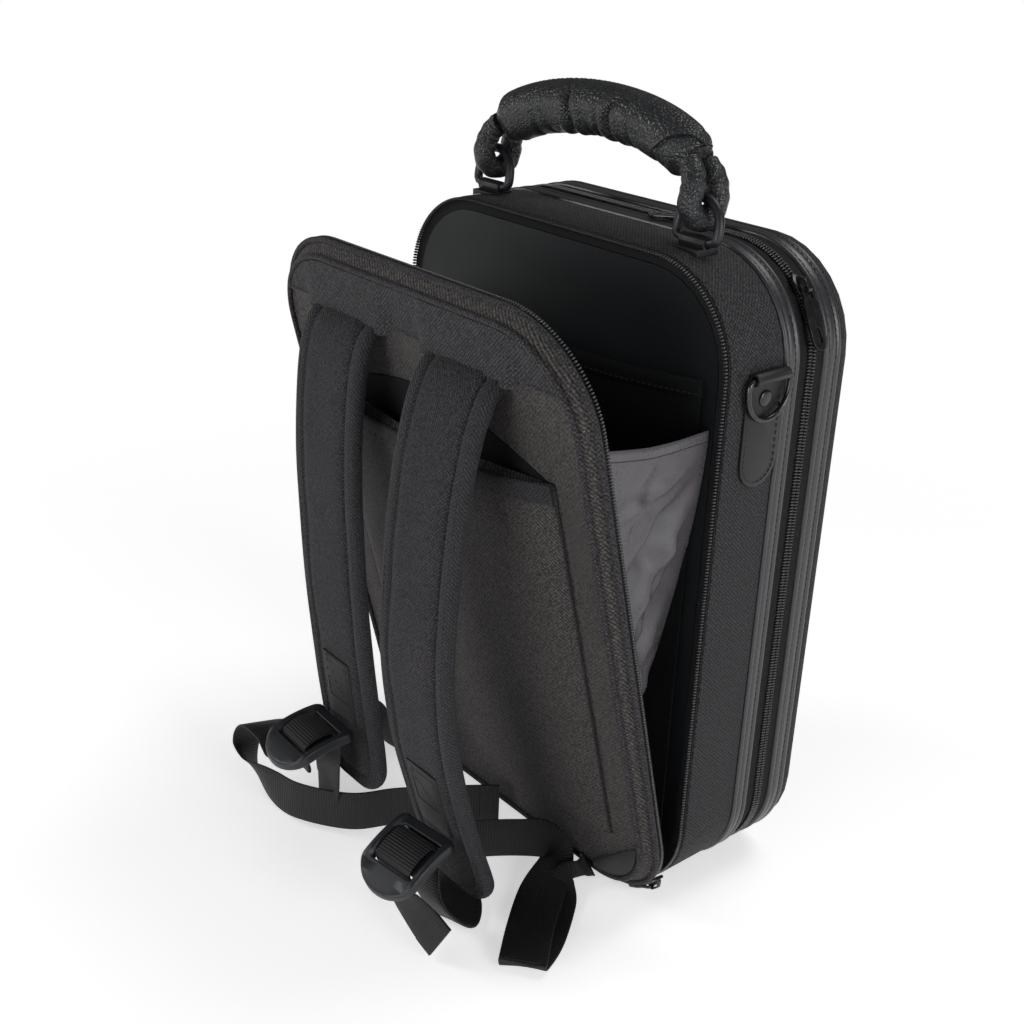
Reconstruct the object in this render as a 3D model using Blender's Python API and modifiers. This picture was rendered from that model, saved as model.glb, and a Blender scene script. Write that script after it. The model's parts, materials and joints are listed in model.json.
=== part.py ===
# Soft clarinet case with a side-hinged lid, a front pocket and two shoulder straps.
# Metres, +Z up, +X to the right, -Y towards the pocket and +Y towards the lid.
# The origin is the middle of the flat base of the main half.

import bpy
import bmesh
import math
from mathutils import Matrix, Vector

# Main sizes
caseWidth = 0.240
caseHeight = 0.348
cornerRadius = 0.052
bodyDepth = 0.059
lidDepth = 0.031
wall = 0.005
panelWall = 0.004
gap = 0.0003
overrun = 0.010
cornerSteps = 8

# Zippers
mainCoilRadius = 0.0012
pocketCoilRadius = 0.0012
tapeThickness = 0.0009
mainTapeWidth = 0.0056
pocketTapeWidth = 0.0060

# Binding bands beside the main zipper
bandProud = 0.0006
bodyBandWidth = 0.0102
lidBandWidth = 0.0122
rimStep = 0.0016
baseStep = 0.0032

# Lid
lidEdgeRadius = 0.007
bevelSegments = 3
lidHingeStandoff = 0.0040
lidPadThickness = 0.012

# Cradle inside the main half
cradleFloor = 0.0022
cradleSetback = 0.0030
jointRecessWidth = 0.044
lowerJointLength = 0.268
upperJointLength = 0.230
bellRecessWidth = 0.086
bellRecessLength = 0.112
barrelRecessWidth = 0.037
barrelRecessLength = 0.072
mouthpieceRecessLength = 0.100
accessoryLength = 0.070
recessSpacing = 0.010
recessCorner = 0.012

# Front pocket and its flap
pocketOpenAngle = 14.0
flapRise = 0.0020
flapDepth = 0.0065
flapWall = 0.0020
flapChamfer = 0.0055
flapCavityInset = 0.0073
flapHingeHeight = 0.0044
flapHingeRadius = 0.0022
pipingRadius = 0.0012
liningThickness = 0.0011
documentPocketThickness = 0.0012
documentPocketDrop = 0.053
documentPocketMargin = 0.027
yokeSeamDrop = 0.0315
yokeThickness = 0.0012
stowMargin = 0.029
stowDrop = 0.080
stowBottom = 0.050
stowDepth = 0.0105
stowWall = 0.0012
stowBottomDepth = 0.0040
trackEndAngle = 50.0

# Gussets that hold the flap open
gussetDrop = 0.068
gussetLow = 0.060
gussetThickness = 0.0006
gussetInset = 0.0078
gussetFoldShare = 0.36
gussetFoldOut = 0.0010
gussetBend = 0.0040

# Handle
handleY = -0.009
ringCentreX = 0.075
ringWidth = 0.030
ringHeight = 0.0245
ringWire = 0.0021
ringAxisHeight = 0.0032
handleLean = 9.0
handleCord = 0.0060
handleCordSpread = 0.0092
handleCordGather = 0.0066
gripRadius = 0.0125
gripHalfSpan = 0.0665
gripEndHeight = 0.0345
gripSweep = 62.0
gripSteps = 6
handleRise = 0.0490
handleTabLength = 0.016
handleTabWall = 0.0011

# Side rings for a sling
sideTabWidth = 0.0256
sideTabLength = 0.0555
sideTabThickness = 0.0012
sideTabDrop = 0.0502
sideTabY = -0.0033
sideRingWidth = 0.0320
sideRingDrop = 0.0243
sideRingWire = 0.0016
rivetRadius = 0.0044
rivetHeight = 0.0010
rivetDrop = 0.0112

# Sliders and pulls
sliderLength = 0.0110
sliderWidth = 0.0088
sliderPlate = 0.0015
bridgeHeight = 0.0053
bridgeWidth = 0.0025
bridgeBar = 0.0010
bridgePillar = 0.0008
pullAxisHeight = 0.0031
pullAxisInset = 0.0026
pullLength = 0.0300
pocketPullLength = 0.0180
pullWidth = 0.0098
pullThickness = 0.0013
pullEyeWidth = 0.0050
pullEyeLength = 0.0052
pullEndBar = 0.0014
pullSlotWidth = 0.0034
pullSlotLength = 0.0080
cornerSliderAngle = 42.0
cornerPullLean = 15.5
pocketSliderAngle = 46.0
pocketPullLean = 17.0
pocketSliderSeat = 0.0008
topSliderX = 0.048
topPullLean = 4.5
topPullTurn = 25.0

# Shoulder straps
strapWidth = 0.055
strapThickness = 0.0090
strapLeftX = -0.0500
strapRightX = 0.0445
strapClearance = 0.048
strapEndWidth = 0.036
strapRootLift = 0.0013
strapSteps = 28

# Adjusters, their tabs and the webbing
webbingWidth = 0.025
webbingThickness = 0.0015
buckleWidth = 0.038
buckleLength = 0.036
buckleThickness = 0.0045
buckleBar = 0.0045
buckleSlotWidth = 0.0276
buckleSlot = 0.0070
buckleLip = 0.0060
buckleStandoff = 0.0052
tabThickness = 0.0014
strapTabLength = 0.040
cornerTabInner = 0.0720
cornerTabRise = 0.0170
cornerTabTop = 0.0520

# Places worked out from the sizes above
documentPocketHeight = caseHeight - documentPocketDrop
documentPocketWidth = caseWidth - 2 * documentPocketMargin
yokeSeamHeight = caseHeight - yokeSeamDrop
stowWidth = caseWidth - 2 * stowMargin
stowTop = caseHeight - stowDrop
gussetTop = caseHeight - gussetDrop
sideTabTop = caseHeight - sideTabDrop
strapDrop = caseHeight - strapClearance
frontY = -bodyDepth / 2
splitY = bodyDepth / 2
rearY = splitY + lidDepth
halfWidth = caseWidth / 2
shellFrontY = frontY + 1.5 * pocketCoilRadius + tapeThickness + 2 * gap
coilOffset = mainCoilRadius + gap
bandBodyEnd = splitY - 2 * coilOffset - mainTapeWidth - 2 * gap
bandBodyStart = bandBodyEnd - bodyBandWidth
bandLidStart = splitY + 2 * coilOffset + mainTapeWidth + 2 * gap
bandLidEnd = bandLidStart + lidBandWidth
flapCoilY = frontY - pocketCoilRadius - 3 * gap
flapTapeY = flapCoilY - pocketCoilRadius - gap
flapRimY = flapTapeY - tapeThickness - gap
flapFrontY = flapRimY - flapDepth
flapHingeY = 0.5 * (flapTapeY + frontY + 1.5 * pocketCoilRadius + gap)
flapInset = pocketCoilRadius / 2 + pipingRadius
frontInset = flapInset + flapChamfer + pipingRadius + gap
handleAxisZ = caseHeight + ringAxisHeight
cornerX = halfWidth - cornerRadius
topCornerZ = caseHeight - cornerRadius
openAngle = math.radians(pocketOpenAngle)
sideTabStandoff = gap + sideTabThickness + gap + sideRingWire
strapCentres = {"left": strapLeftX, "right": strapRightX}
sides = {"left": -1.0, "right": 1.0}


def clearScene():
    for thing in list(bpy.data.objects):
        bpy.data.objects.remove(thing, do_unlink=True)


clearScene()
parts = bpy.data.collections.new("clarinet_case")
cutters = bpy.data.collections.new("cutters")
bpy.context.scene.collection.children.link(parts)
bpy.context.scene.collection.children.link(cutters)


# Materials

def makeMaterial(name, colour, roughness, metallic=0.0):
    material = bpy.data.materials.new(name)
    material.use_nodes = True
    shader = material.node_tree.nodes["Principled BSDF"]
    shader.inputs["Base Color"].default_value = (*colour, 1.0)
    shader.inputs["Roughness"].default_value = roughness
    shader.inputs["Metallic"].default_value = metallic
    material.diffuse_color = (*colour, 1.0)
    return material


oxford = makeMaterial("oxford_cloth", (0.030, 0.028, 0.027), 0.85)
vinyl = makeMaterial("grained_vinyl", (0.045, 0.045, 0.048), 0.38)
zipCloth = makeMaterial("zip_tape", (0.018, 0.018, 0.019), 0.80)
coilPlastic = makeMaterial("coil_plastic", (0.016, 0.016, 0.017), 0.42)
blackMetal = makeMaterial("black_metal", (0.020, 0.020, 0.021), 0.32, 0.85)
gloss = makeMaterial("gloss_plastic", (0.012, 0.012, 0.014), 0.18)
leather = makeMaterial("pebbled_leather", (0.015, 0.015, 0.016), 0.45)
plush = makeMaterial("plush_lining", (0.020, 0.020, 0.026), 0.95)
lining = makeMaterial("smooth_lining", (0.010, 0.011, 0.013), 0.55)
taffeta = makeMaterial("taffeta", (0.085, 0.080, 0.084), 0.50)
webbingCloth = makeMaterial("webbing", (0.014, 0.014, 0.014), 0.80)


# Object helpers

def addMesh(name, mesh, material, collection=parts):
    thing = bpy.data.objects.new(name, mesh)
    collection.objects.link(thing)
    mesh.materials.clear()
    mesh.materials.append(material)
    return thing


def axisEmpty(name, place, turn=(0.0, 0.0, 0.0), parent=None):
    empty = bpy.data.objects.new(name, None)
    empty.location = place
    empty.rotation_euler = turn
    empty.parent = parent
    parts.objects.link(empty)
    return empty


def hangOn(thing, holder, shift=None):
    # A mesh drawn upright in the world is moved under its axis holder, with the shapes that cut it
    move = -holder.location if shift is None else shift
    for step in thing.modifiers:
        if step.type == "BOOLEAN":
            hangOn(step.object, holder, move)
    thing.data.transform(Matrix.Translation(move))
    thing.parent = holder


def bakeCurve(thing, name, material, collection=parts):
    # A curve becomes a welded mesh in the same place
    bpy.context.view_layer.update()
    graph = bpy.context.evaluated_depsgraph_get()
    mesh = bpy.data.meshes.new_from_object(thing.evaluated_get(graph))
    mesh.transform(thing.matrix_world)
    bpy.data.objects.remove(thing, do_unlink=True)
    work = bmesh.new()
    work.from_mesh(mesh)
    bmesh.ops.remove_doubles(work, verts=work.verts, dist=gap / 10)
    bmesh.ops.recalc_face_normals(work, faces=work.faces)
    work.to_mesh(mesh)
    work.free()
    mesh.name = name
    return addMesh(name, mesh, material, collection)


def plate(name, loops, yLow, yHigh, material, collection=parts):
    # A flat outline in X and Z, given as loops of points, made thick along Y
    shape = bpy.data.curves.new(name, "CURVE")
    shape.dimensions = "2D"
    shape.fill_mode = "BOTH"
    shape.extrude = (yHigh - yLow) / 2
    for loop in loops:
        spline = shape.splines.new("POLY")
        spline.points.add(len(loop) - 1)
        for point, (x, z) in zip(spline.points, loop):
            point.co = (x, z, 0.0, 1.0)
        spline.use_cyclic_u = True
    thing = bpy.data.objects.new(name, shape)
    thing.location = (0.0, (yLow + yHigh) / 2, 0.0)
    thing.rotation_euler = (math.radians(90), 0.0, 0.0)
    bpy.context.scene.collection.objects.link(thing)
    return bakeCurve(thing, name, material, collection)


def tube(name, points, radius, material, closed=False, resolution=2, collection=parts):
    shape = bpy.data.curves.new(name, "CURVE")
    shape.dimensions = "3D"
    shape.bevel_depth = radius
    shape.bevel_resolution = resolution
    shape.use_fill_caps = True
    spline = shape.splines.new("POLY")
    spline.points.add(len(points) - 1)
    for point, place in zip(spline.points, points):
        point.co = (*place, 1.0)
    spline.use_cyclic_u = closed
    thing = bpy.data.objects.new(name, shape)
    bpy.context.scene.collection.objects.link(thing)
    made = bakeCurve(thing, name, material, collection)
    made.data.shade_smooth()
    made.data.set_sharp_from_angle(angle=math.radians(50))
    return made


def block(name, low, high, material, collection=parts):
    bpy.ops.mesh.primitive_cube_add(size=1.0)
    thing = bpy.context.object
    for holder in list(thing.users_collection):
        holder.objects.unlink(thing)
    collection.objects.link(thing)
    size = Vector(high) - Vector(low)
    centre = (Vector(high) + Vector(low)) / 2
    thing.data.transform(Matrix.Translation(centre) @ Matrix.Diagonal((*size, 1.0)))
    thing.name = name
    thing.data.name = name
    thing.data.materials.append(material)
    return thing


def markCutter(thing):
    thing.hide_render = True
    thing.display_type = "WIRE"
    return thing


def carve(thing, cutter, operation="DIFFERENCE"):
    markCutter(cutter)
    step = thing.modifiers.new(cutter.name, "BOOLEAN")
    step.operation = operation
    step.solver = "EXACT"
    step.object = cutter
    return thing


def roundEdges(thing, pick, radius, segments):
    # Rounds the sharp edges whose two ends both pass the test
    work = bmesh.new()
    work.from_mesh(thing.data)
    flat = math.radians(1)
    bmesh.ops.dissolve_limit(work, angle_limit=flat, verts=work.verts, edges=work.edges)
    edges = [edge for edge in work.edges
             if all(pick(point.co) for point in edge.verts) and edge.calc_face_angle(0.0) > 20 * flat]
    bmesh.ops.bevel(work, geom=edges, offset=radius, segments=segments, affect="EDGES", profile=0.5)
    work.to_mesh(thing.data)
    work.free()


def loft(name, rings, material, closed=False):
    # Joins rings of points with quads and closes the two ends
    work = bmesh.new()
    rows = [[work.verts.new(point) for point in ring] for ring in rings]
    count = len(rows[0])
    spans = zip(rows, rows[1:] + rows[:1]) if closed else zip(rows, rows[1:])
    for low, high in spans:
        for index in range(count):
            after = (index + 1) % count
            work.faces.new((low[index], low[after], high[after], high[index]))
    if not closed:
        work.faces.new(list(reversed(rows[0])))
        work.faces.new(rows[-1])
    bmesh.ops.recalc_face_normals(work, faces=work.faces)
    mesh = bpy.data.meshes.new(name)
    work.to_mesh(mesh)
    work.free()
    return addMesh(name, mesh, material)


# Outlines

def arcPoints(centre, radius, first, last, steps):
    points = []
    for step in range(steps + 1):
        angle = math.radians(first + (last - first) * step / steps)
        points.append((centre[0] + radius * math.cos(angle), centre[1] + radius * math.sin(angle)))
    return points


def caseOutline(inset, rise=None, steps=cornerSteps):
    # The rounded outline of the case, drawn in from its sides, with its own base height
    base = inset if rise is None else rise
    radius = cornerRadius - inset
    x = halfWidth - inset - radius
    top = caseHeight - inset - radius
    lowRadius = min(radius, cornerRadius - base)
    low = base + lowRadius
    lowX = halfWidth - inset - lowRadius
    points = arcPoints((x, top), radius, 0, 90, steps)
    points += arcPoints((-x, top), radius, 90, 180, steps)
    points += arcPoints((-lowX, low), lowRadius, 180, 270, steps)
    points += arcPoints((lowX, low), lowRadius, 270, 360, steps)
    return points


def trackPath(inset, y, endAngle, steps=cornerSteps):
    # A zipper track from the lower right corner over the top to the lower left corner
    radius = cornerRadius - inset
    low = cornerRadius
    points = arcPoints((cornerX, low), radius, -endAngle, 0, steps)
    points += arcPoints((cornerX, topCornerZ), radius, 0, 90, steps)
    points += arcPoints((-cornerX, topCornerZ), radius, 90, 180, steps)
    points += arcPoints((-cornerX, low), radius, 180, 180 + endAngle, steps)
    return [Vector((x, y, z)) for x, z in points]


def hingeSidePath(inset, rise, y, steps=cornerSteps):
    # The main zipper's path: from the top of the hinge side over the top, right and base
    radius = cornerRadius - inset
    lowRadius = cornerRadius - rise
    low = rise + lowRadius
    points = arcPoints((-cornerX, topCornerZ), radius, 180, 90, steps)
    points += arcPoints((cornerX, topCornerZ), radius, 90, 0, steps)
    points += arcPoints((halfWidth - inset - lowRadius, low), lowRadius, 0, -90, steps)
    points += arcPoints((-halfWidth + inset + lowRadius, low), lowRadius, 270, 180, steps)
    return [Vector((x, y, z)) for x, z in points]


def roundedBox(left, right, low, high, radius, steps=3):
    points = arcPoints((right - radius, high - radius), radius, 0, 90, steps)
    points += arcPoints((left + radius, high - radius), radius, 90, 180, steps)
    points += arcPoints((left + radius, low + radius), radius, 180, 270, steps)
    points += arcPoints((right - radius, low + radius), radius, 270, 360, steps)
    return points


def smoothPath(points, count):
    # A smooth curve through the points, read at an even number of places per span
    spans = len(points) - 1
    result = []
    for index in range(count + 1):
        place = index / count * spans
        span = min(int(place), spans - 1)
        share = place - span
        before = points[max(span - 1, 0)]
        start = points[span]
        end = points[span + 1]
        after = points[min(span + 2, spans)]
        result.append(0.5 * ((2 * start) + (end - before) * share
                             + (2 * before - 5 * start + 4 * end - after) * share ** 2
                             + (3 * start - before - 3 * end + after) * share ** 3))
    return result


# The main half

def makeBodyShell():
    shell = plate("body_shell", [caseOutline(0.0)], shellFrontY, splitY - gap, oxford)
    inner = plate("body_cavity", [caseOutline(wall)], shellFrontY + panelWall, splitY + overrun, plush, cutters)
    rim = plate("body_rim_step", [caseOutline(-overrun, -overrun), caseOutline(rimStep, baseStep)],
                bandBodyStart - gap, splitY + overrun, vinyl, cutters)
    carve(shell, inner)
    carve(shell, rim)
    return shell


def makeBand(name, yLow, yHigh):
    band = plate(name, [caseOutline(-bandProud, 0.0), caseOutline(rimStep - gap, baseStep - gap)],
                 yLow, yHigh, vinyl)
    return carve(band, hingeSideCutter(name))


def makeMainTape(name, yLow, yHigh):
    inset = rimStep - gap - tapeThickness
    low = baseStep - gap - tapeThickness
    tape = plate(name, [caseOutline(inset, low), caseOutline(rimStep - gap, baseStep - gap)],
                 yLow, yHigh, zipCloth)
    return carve(tape, hingeSideCutter(name))


def hingeSideCutter(name):
    # Clears the straight part of the hinge side, where the cloth hinge runs
    return block(name + "_hinge_side_cut",
                 (-halfWidth - overrun, frontY - overrun, cornerRadius),
                 (-halfWidth + overrun, rearY + overrun, topCornerZ), zipCloth, cutters)


def makeMainCoil(name, y):
    rise = baseStep - rimStep + gap
    path = hingeSidePath(0.0, rise, y)
    return tube(name, path, mainCoilRadius, coilPlastic, resolution=1)


def makeHingeRoll():
    # The cloth hinge stands as a slim vertical roll on the lid's axis
    x = -halfWidth - lidHingeStandoff
    radius = lidHingeStandoff - gap
    path = [Vector((x, splitY, cornerRadius)), Vector((x, splitY, topCornerZ))]
    return tube("hinge_gore", path, radius, oxford, resolution=3)


def recessPlaces():
    # Each recess as left, right, low and high edges in X and Z
    left = -halfWidth + wall + recessSpacing
    base = wall + recessSpacing
    lowerRight = left + jointRecessWidth
    upperLeft = lowerRight + recessSpacing
    upperRight = upperLeft + jointRecessWidth
    bellLeft = upperRight + recessSpacing
    bellRight = bellLeft + bellRecessWidth
    bellTop = base + bellRecessLength
    smallLow = bellTop + recessSpacing
    barrelRight = bellLeft + barrelRecessWidth
    mouthLeft = bellRight - barrelRecessWidth
    upperTop = base + upperJointLength
    accessoryLow = upperTop + recessSpacing
    return {
        "lower_joint": (left, lowerRight, base, base + lowerJointLength),
        "upper_joint": (upperLeft, upperRight, base, upperTop),
        "accessory": (upperLeft, upperRight, accessoryLow, accessoryLow + accessoryLength),
        "bell": (bellLeft, bellRight, base, bellTop),
        "barrel": (bellLeft, barrelRight, smallLow, smallLow + barrelRecessLength),
        "mouthpiece": (mouthLeft, bellRight, smallLow, smallLow + mouthpieceRecessLength),
    }


def makeCradle():
    # Four foam blocks, parted halfway between the recesses
    back = shellFrontY + panelWall + gap
    face = splitY - cradleSetback
    places = recessPlaces()
    firstPart = places["lower_joint"][1] + recessSpacing / 2
    secondPart = places["upper_joint"][1] + recessSpacing / 2
    levelPart = places["bell"][3] + recessSpacing / 2
    top = caseHeight + overrun
    blocks = {
        "left": (-halfWidth, firstPart - gap / 2, -overrun, top, ["lower_joint"]),
        "middle": (firstPart + gap / 2, secondPart - gap / 2, -overrun, top, ["upper_joint", "accessory"]),
        "bell": (secondPart + gap / 2, halfWidth, -overrun, levelPart - gap / 2, ["bell"]),
        "small": (secondPart + gap / 2, halfWidth, levelPart + gap / 2, top, ["barrel", "mouthpiece"]),
    }
    for key, (start, end, foot, head, names) in blocks.items():
        foam = plate("foam_insert_" + key, [caseOutline(wall + gap)], back, face, plush)
        share = block("foam_share_" + key, (start, back - overrun, foot), (end, face + overrun, head), plush,
                      cutters)
        carve(foam, share, "INTERSECT")
        for name in names:
            left, right, low, high = places[name]
            # The bell needs the whole depth, so its recess has no floor of its own
            floor = back - overrun if name == "bell" else back + cradleFloor
            recess = plate(name + "_recess", [roundedBox(left, right, low, high, recessCorner)],
                           floor, face + overrun, plush, cutters)
            carve(foam, recess)


# The lid

def makeLidShell():
    def onRearEdge(point):
        return point.y > rearY - gap

    shell = plate("lid_shell", [caseOutline(0.0)], splitY + gap, rearY, oxford)
    roundEdges(shell, onRearEdge, lidEdgeRadius, bevelSegments)
    inner = plate("lid_cavity", [caseOutline(wall)], splitY - overrun, rearY - panelWall, plush, cutters)
    rim = plate("lid_rim_step", [caseOutline(-overrun, -overrun), caseOutline(rimStep, baseStep)],
                splitY - overrun, bandLidEnd + gap, vinyl, cutters)
    carve(shell, inner)
    carve(shell, rim)
    return shell


def makeLidPad():
    high = rearY - panelWall - gap
    low = high - lidPadThickness
    pad = plate("lid_pad", [caseOutline(wall + gap)], low, high, plush)
    left, right, base, top = recessPlaces()["bell"]
    hole = plate("bell_relief", [roundedBox(left, right, base, top, recessCorner)],
                 low - overrun, high + overrun, plush, cutters)
    return carve(pad, hole)


# The front pocket

def makePocketTape(name, yLow, rise):
    inset = pocketCoilRadius / 2
    return plate(name, [caseOutline(inset, rise), caseOutline(inset + pocketTapeWidth, rise + pocketTapeWidth)],
                 yLow, yLow + tapeThickness, zipCloth)


def makePocketCoil(name, y):
    return tube(name, trackPath(pocketCoilRadius, y, trackEndAngle), pocketCoilRadius, coilPlastic, resolution=1)


def makePocketLining():
    inset = pocketCoilRadius / 2 + pocketTapeWidth + gap
    return plate("pocket_lining", [caseOutline(inset)], shellFrontY - gap - liningThickness,
                 shellFrontY - gap, lining)


def makeDocumentPocket():
    back = shellFrontY - 2 * gap - liningThickness
    low = pocketCoilRadius / 2 + pocketTapeWidth + gap
    half = documentPocketWidth / 2
    points = roundedBox(-half, half, low, documentPocketHeight, cornerRadius / 3)
    return plate("document_pocket", [points], back - documentPocketThickness, back, oxford)


def makeFlapHinge():
    path = [Vector((-cornerX, flapHingeY, flapHingeHeight)), Vector((cornerX, flapHingeY, flapHingeHeight))]
    return tube("flap_hinge", path, flapHingeRadius, oxford, resolution=3)


# The flap, drawn closed and upright, then tipped forward on its own axis

def makeFlapPanel():
    def onFrontEdge(point):
        return point.y < flapFrontY + gap

    low = flapRise + 2 * pipingRadius + gap
    panel = plate("flap_panel", [caseOutline(flapInset, low)], flapFrontY, flapRimY, oxford)
    roundEdges(panel, onFrontEdge, flapChamfer, 1)
    hollow = plate("flap_cavity", [caseOutline(flapCavityInset, low + flapCavityInset - flapInset)],
                   flapFrontY + flapWall, flapRimY + overrun, oxford, cutters)
    return carve(panel, hollow)


def makePiping(name, inset, rise, y):
    path = caseOutline(inset, rise)
    return tube(name, [Vector((x, y, z)) for x, z in path], pipingRadius, vinyl, closed=True, resolution=1)


def makeRearPiping():
    return makePiping("piping_rear", flapInset - pipingRadius - gap, flapRise + pipingRadius,
                      flapRimY - pipingRadius)


def makeFrontPiping():
    # The cord lies on the front's bevelled edge, clear of both of its faces
    lift = pipingRadius + gap
    inset = flapInset + flapChamfer - lift * math.tan(math.radians(22.5))
    return makePiping("piping_front", inset, flapRise + 2 * pipingRadius + gap + inset - flapInset,
                      flapFrontY - lift)


def frontAnchor(x, height, lift):
    # A point on the flap's front, given by its place when the flap is closed
    return Vector((x, flapFrontY - lift, height))


def makeYoke():
    # The top panel, cut off along its straight lower seam
    back = flapFrontY - gap
    yoke = plate("yoke_panel", [caseOutline(frontInset)], back - yokeThickness, back, oxford)
    lower = block("yoke_seam_cut", (-halfWidth - overrun, back - yokeThickness - overrun, -overrun),
                  (halfWidth + overrun, back + overrun, yokeSeamHeight), oxford, cutters)
    return carve(yoke, lower)


def makeStowPocket():
    # A flat pouch, deeper at its open top, sewn down along its sides and base
    half = stowWidth / 2
    back = flapFrontY - gap
    outer = [(back, stowBottom), (back, stowTop), (back - stowDepth, stowTop),
             (back - stowBottomDepth, stowBottom)]
    slope = (stowDepth - stowBottomDepth) / (stowTop - stowBottom)
    innerLow = stowBottom + stowWall
    innerDepth = stowBottomDepth - stowWall
    inner = [(back - stowWall, innerLow), (back - stowWall, stowTop + overrun),
             (back - stowDepth + stowWall - slope * overrun, stowTop + overrun),
             (back - innerDepth, innerLow)]

    def ring(x, profile):
        return [Vector((x, y, z)) for y, z in profile]

    pouch = loft("stow_pocket", [ring(-half, outer), ring(half, outer)], oxford)
    hollow = loft("stow_hollow", [ring(-half + stowWall, inner), ring(half - stowWall, inner)], oxford)
    parts.objects.unlink(hollow)
    cutters.objects.link(hollow)
    return carve(pouch, hollow)


def makeCornerTab(side):
    # A three-cornered patch at the flap's foot that holds the end of the webbing
    sign = sides[side]
    foot = flapRise + 2 * pipingRadius + frontInset - flapInset
    radius = cornerRadius - frontInset
    arc = arcPoints((halfWidth - frontInset - radius, foot + radius), radius, -90, -8, cornerSteps)
    arc = [(x, z) for x, z in arc if x > cornerTabInner]
    points = [(cornerTabInner, cornerTabRise), (cornerTabInner, arc[0][1])] + arc
    points += [(arc[-1][0], cornerTabTop)]
    points = [(sign * x, z) for x, z in points]
    back = flapFrontY - gap
    return plate("corner_tab_" + side, [points], back - tabThickness, back, oxford)


def makeGusset(side):
    # A folded cloth side wall between the flap and the back of the pocket, drawn with the flap open
    sign = sides[side]
    turn = Matrix.Rotation(openAngle, 3, "X")
    axis = Vector((0.0, flapHingeY, flapHingeHeight))
    flapX = sign * (halfWidth - gussetInset)
    wallX = sign * (documentPocketWidth / 2 + 2 * gap)
    wallY = shellFrontY - 3 * gap - liningThickness - gussetThickness
    steps = 6
    work = bmesh.new()
    rows = []
    for step in range(steps + 1):
        height = gussetLow + (gussetTop - gussetLow) * step / steps
        flapPoint = turn @ (Vector((flapX, flapRimY + gap, height)) - axis) + axis
        wallPoint = Vector((wallX, wallY, height))
        spread = wallY - flapPoint.y
        rise = (height / caseHeight) ** 2
        fold = Vector((flapX + sign * gussetFoldOut, wallY - spread * gussetFoldShare * (1.1 - rise), height))
        ahead = (fold - flapPoint).normalized()
        behind = (wallPoint - fold).normalized()
        bend = min(gussetBend, 0.4 * (fold - flapPoint).length)
        row = [flapPoint, flapPoint.lerp(fold, 0.5), fold - ahead * bend,
               fold - ahead * bend * 0.3 + behind * bend * 0.3, fold + behind * bend,
               fold.lerp(wallPoint, 0.6), wallPoint]
        rows.append([work.verts.new(point) for point in row])
    for low, high in zip(rows, rows[1:]):
        for index in range(len(low) - 1):
            work.faces.new((low[index], low[index + 1], high[index + 1], high[index]))
    bmesh.ops.recalc_face_normals(work, faces=work.faces)
    name = "gusset_" + side
    mesh = bpy.data.meshes.new(name)
    work.to_mesh(mesh)
    work.free()
    gusset = addMesh(name, mesh, taffeta)
    skin = gusset.modifiers.new("thickness", "SOLIDIFY")
    skin.thickness = gussetThickness
    skin.offset = 0.0
    return gusset


# The handle, drawn upright, then leaned back on its axis

def ringPath(width, height, wire):
    # A D-ring's middle line, with its straight bar at height zero and its bow above
    half = width / 2 - wire
    top = height - 2 * wire
    bow = min(half, 0.8 * top)
    shoulder = top - bow
    points = [(-half + wire, 0.0), (half - wire, 0.0), (half, wire)]
    points += [(half * math.cos(math.pi * step / 12), shoulder + bow * math.sin(math.pi * step / 12))
               for step in range(13)]
    return points + [(-half, wire)]


def makeHandleRing(side):
    x = sides[side] * ringCentreX
    path = [Vector((x + u, handleY, handleAxisZ + v)) for u, v in ringPath(ringWidth, ringHeight, ringWire)]
    return tube("handle_ring_" + side, path, ringWire, gloss, closed=True)


def makeHandleTab(side):
    # A stitched loop that holds the ring's bar down on the case
    x = sides[side] * ringCentreX
    outer = ringWire + gap + handleTabWall
    low = handleAxisZ - outer - ringAxisHeight
    name = "handle_tab_" + side
    tab = tube(name, [Vector((x - handleTabLength / 2, handleY, handleAxisZ)),
                      Vector((x + handleTabLength / 2, handleY, handleAxisZ))], outer, vinyl, resolution=3)
    foot = block(name + "_foot", (x - handleTabLength / 2, handleY - 2 * outer, low),
                 (x + handleTabLength / 2, handleY + 2 * outer, handleAxisZ - ringWire), vinyl, cutters)
    bore = tube(name + "_bore", [Vector((x - handleTabLength, handleY, handleAxisZ)),
                                 Vector((x + handleTabLength, handleY, handleAxisZ))],
                ringWire + gap, vinyl, resolution=3, collection=cutters)
    seat = plate(name + "_seat", [caseOutline(-gap)], handleY - overrun - outer, handleY + overrun + outer,
                 vinyl, cutters)
    carve(tab, foot, "UNION")
    carve(tab, bore)
    return carve(tab, seat)


def archPoint(share):
    # The middle line of the handle's arch, from -1 at its left end to 1 at its right end
    sweep = math.radians(gripSweep)
    span = gripHalfSpan / math.sin(sweep)
    lift = (handleRise - gripEndHeight) / (1 - math.cos(sweep))
    return span * math.sin(sweep * share), handleRise - lift * (1 - math.cos(sweep * share))


def bezier(first, second, third, fourth, steps):
    points = []
    for step in range(steps + 1):
        t = step / steps
        u = 1 - t
        points.append(first * u ** 3 + second * 3 * u * u * t + third * 3 * u * t * t + fourth * t ** 3)
    return points


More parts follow.
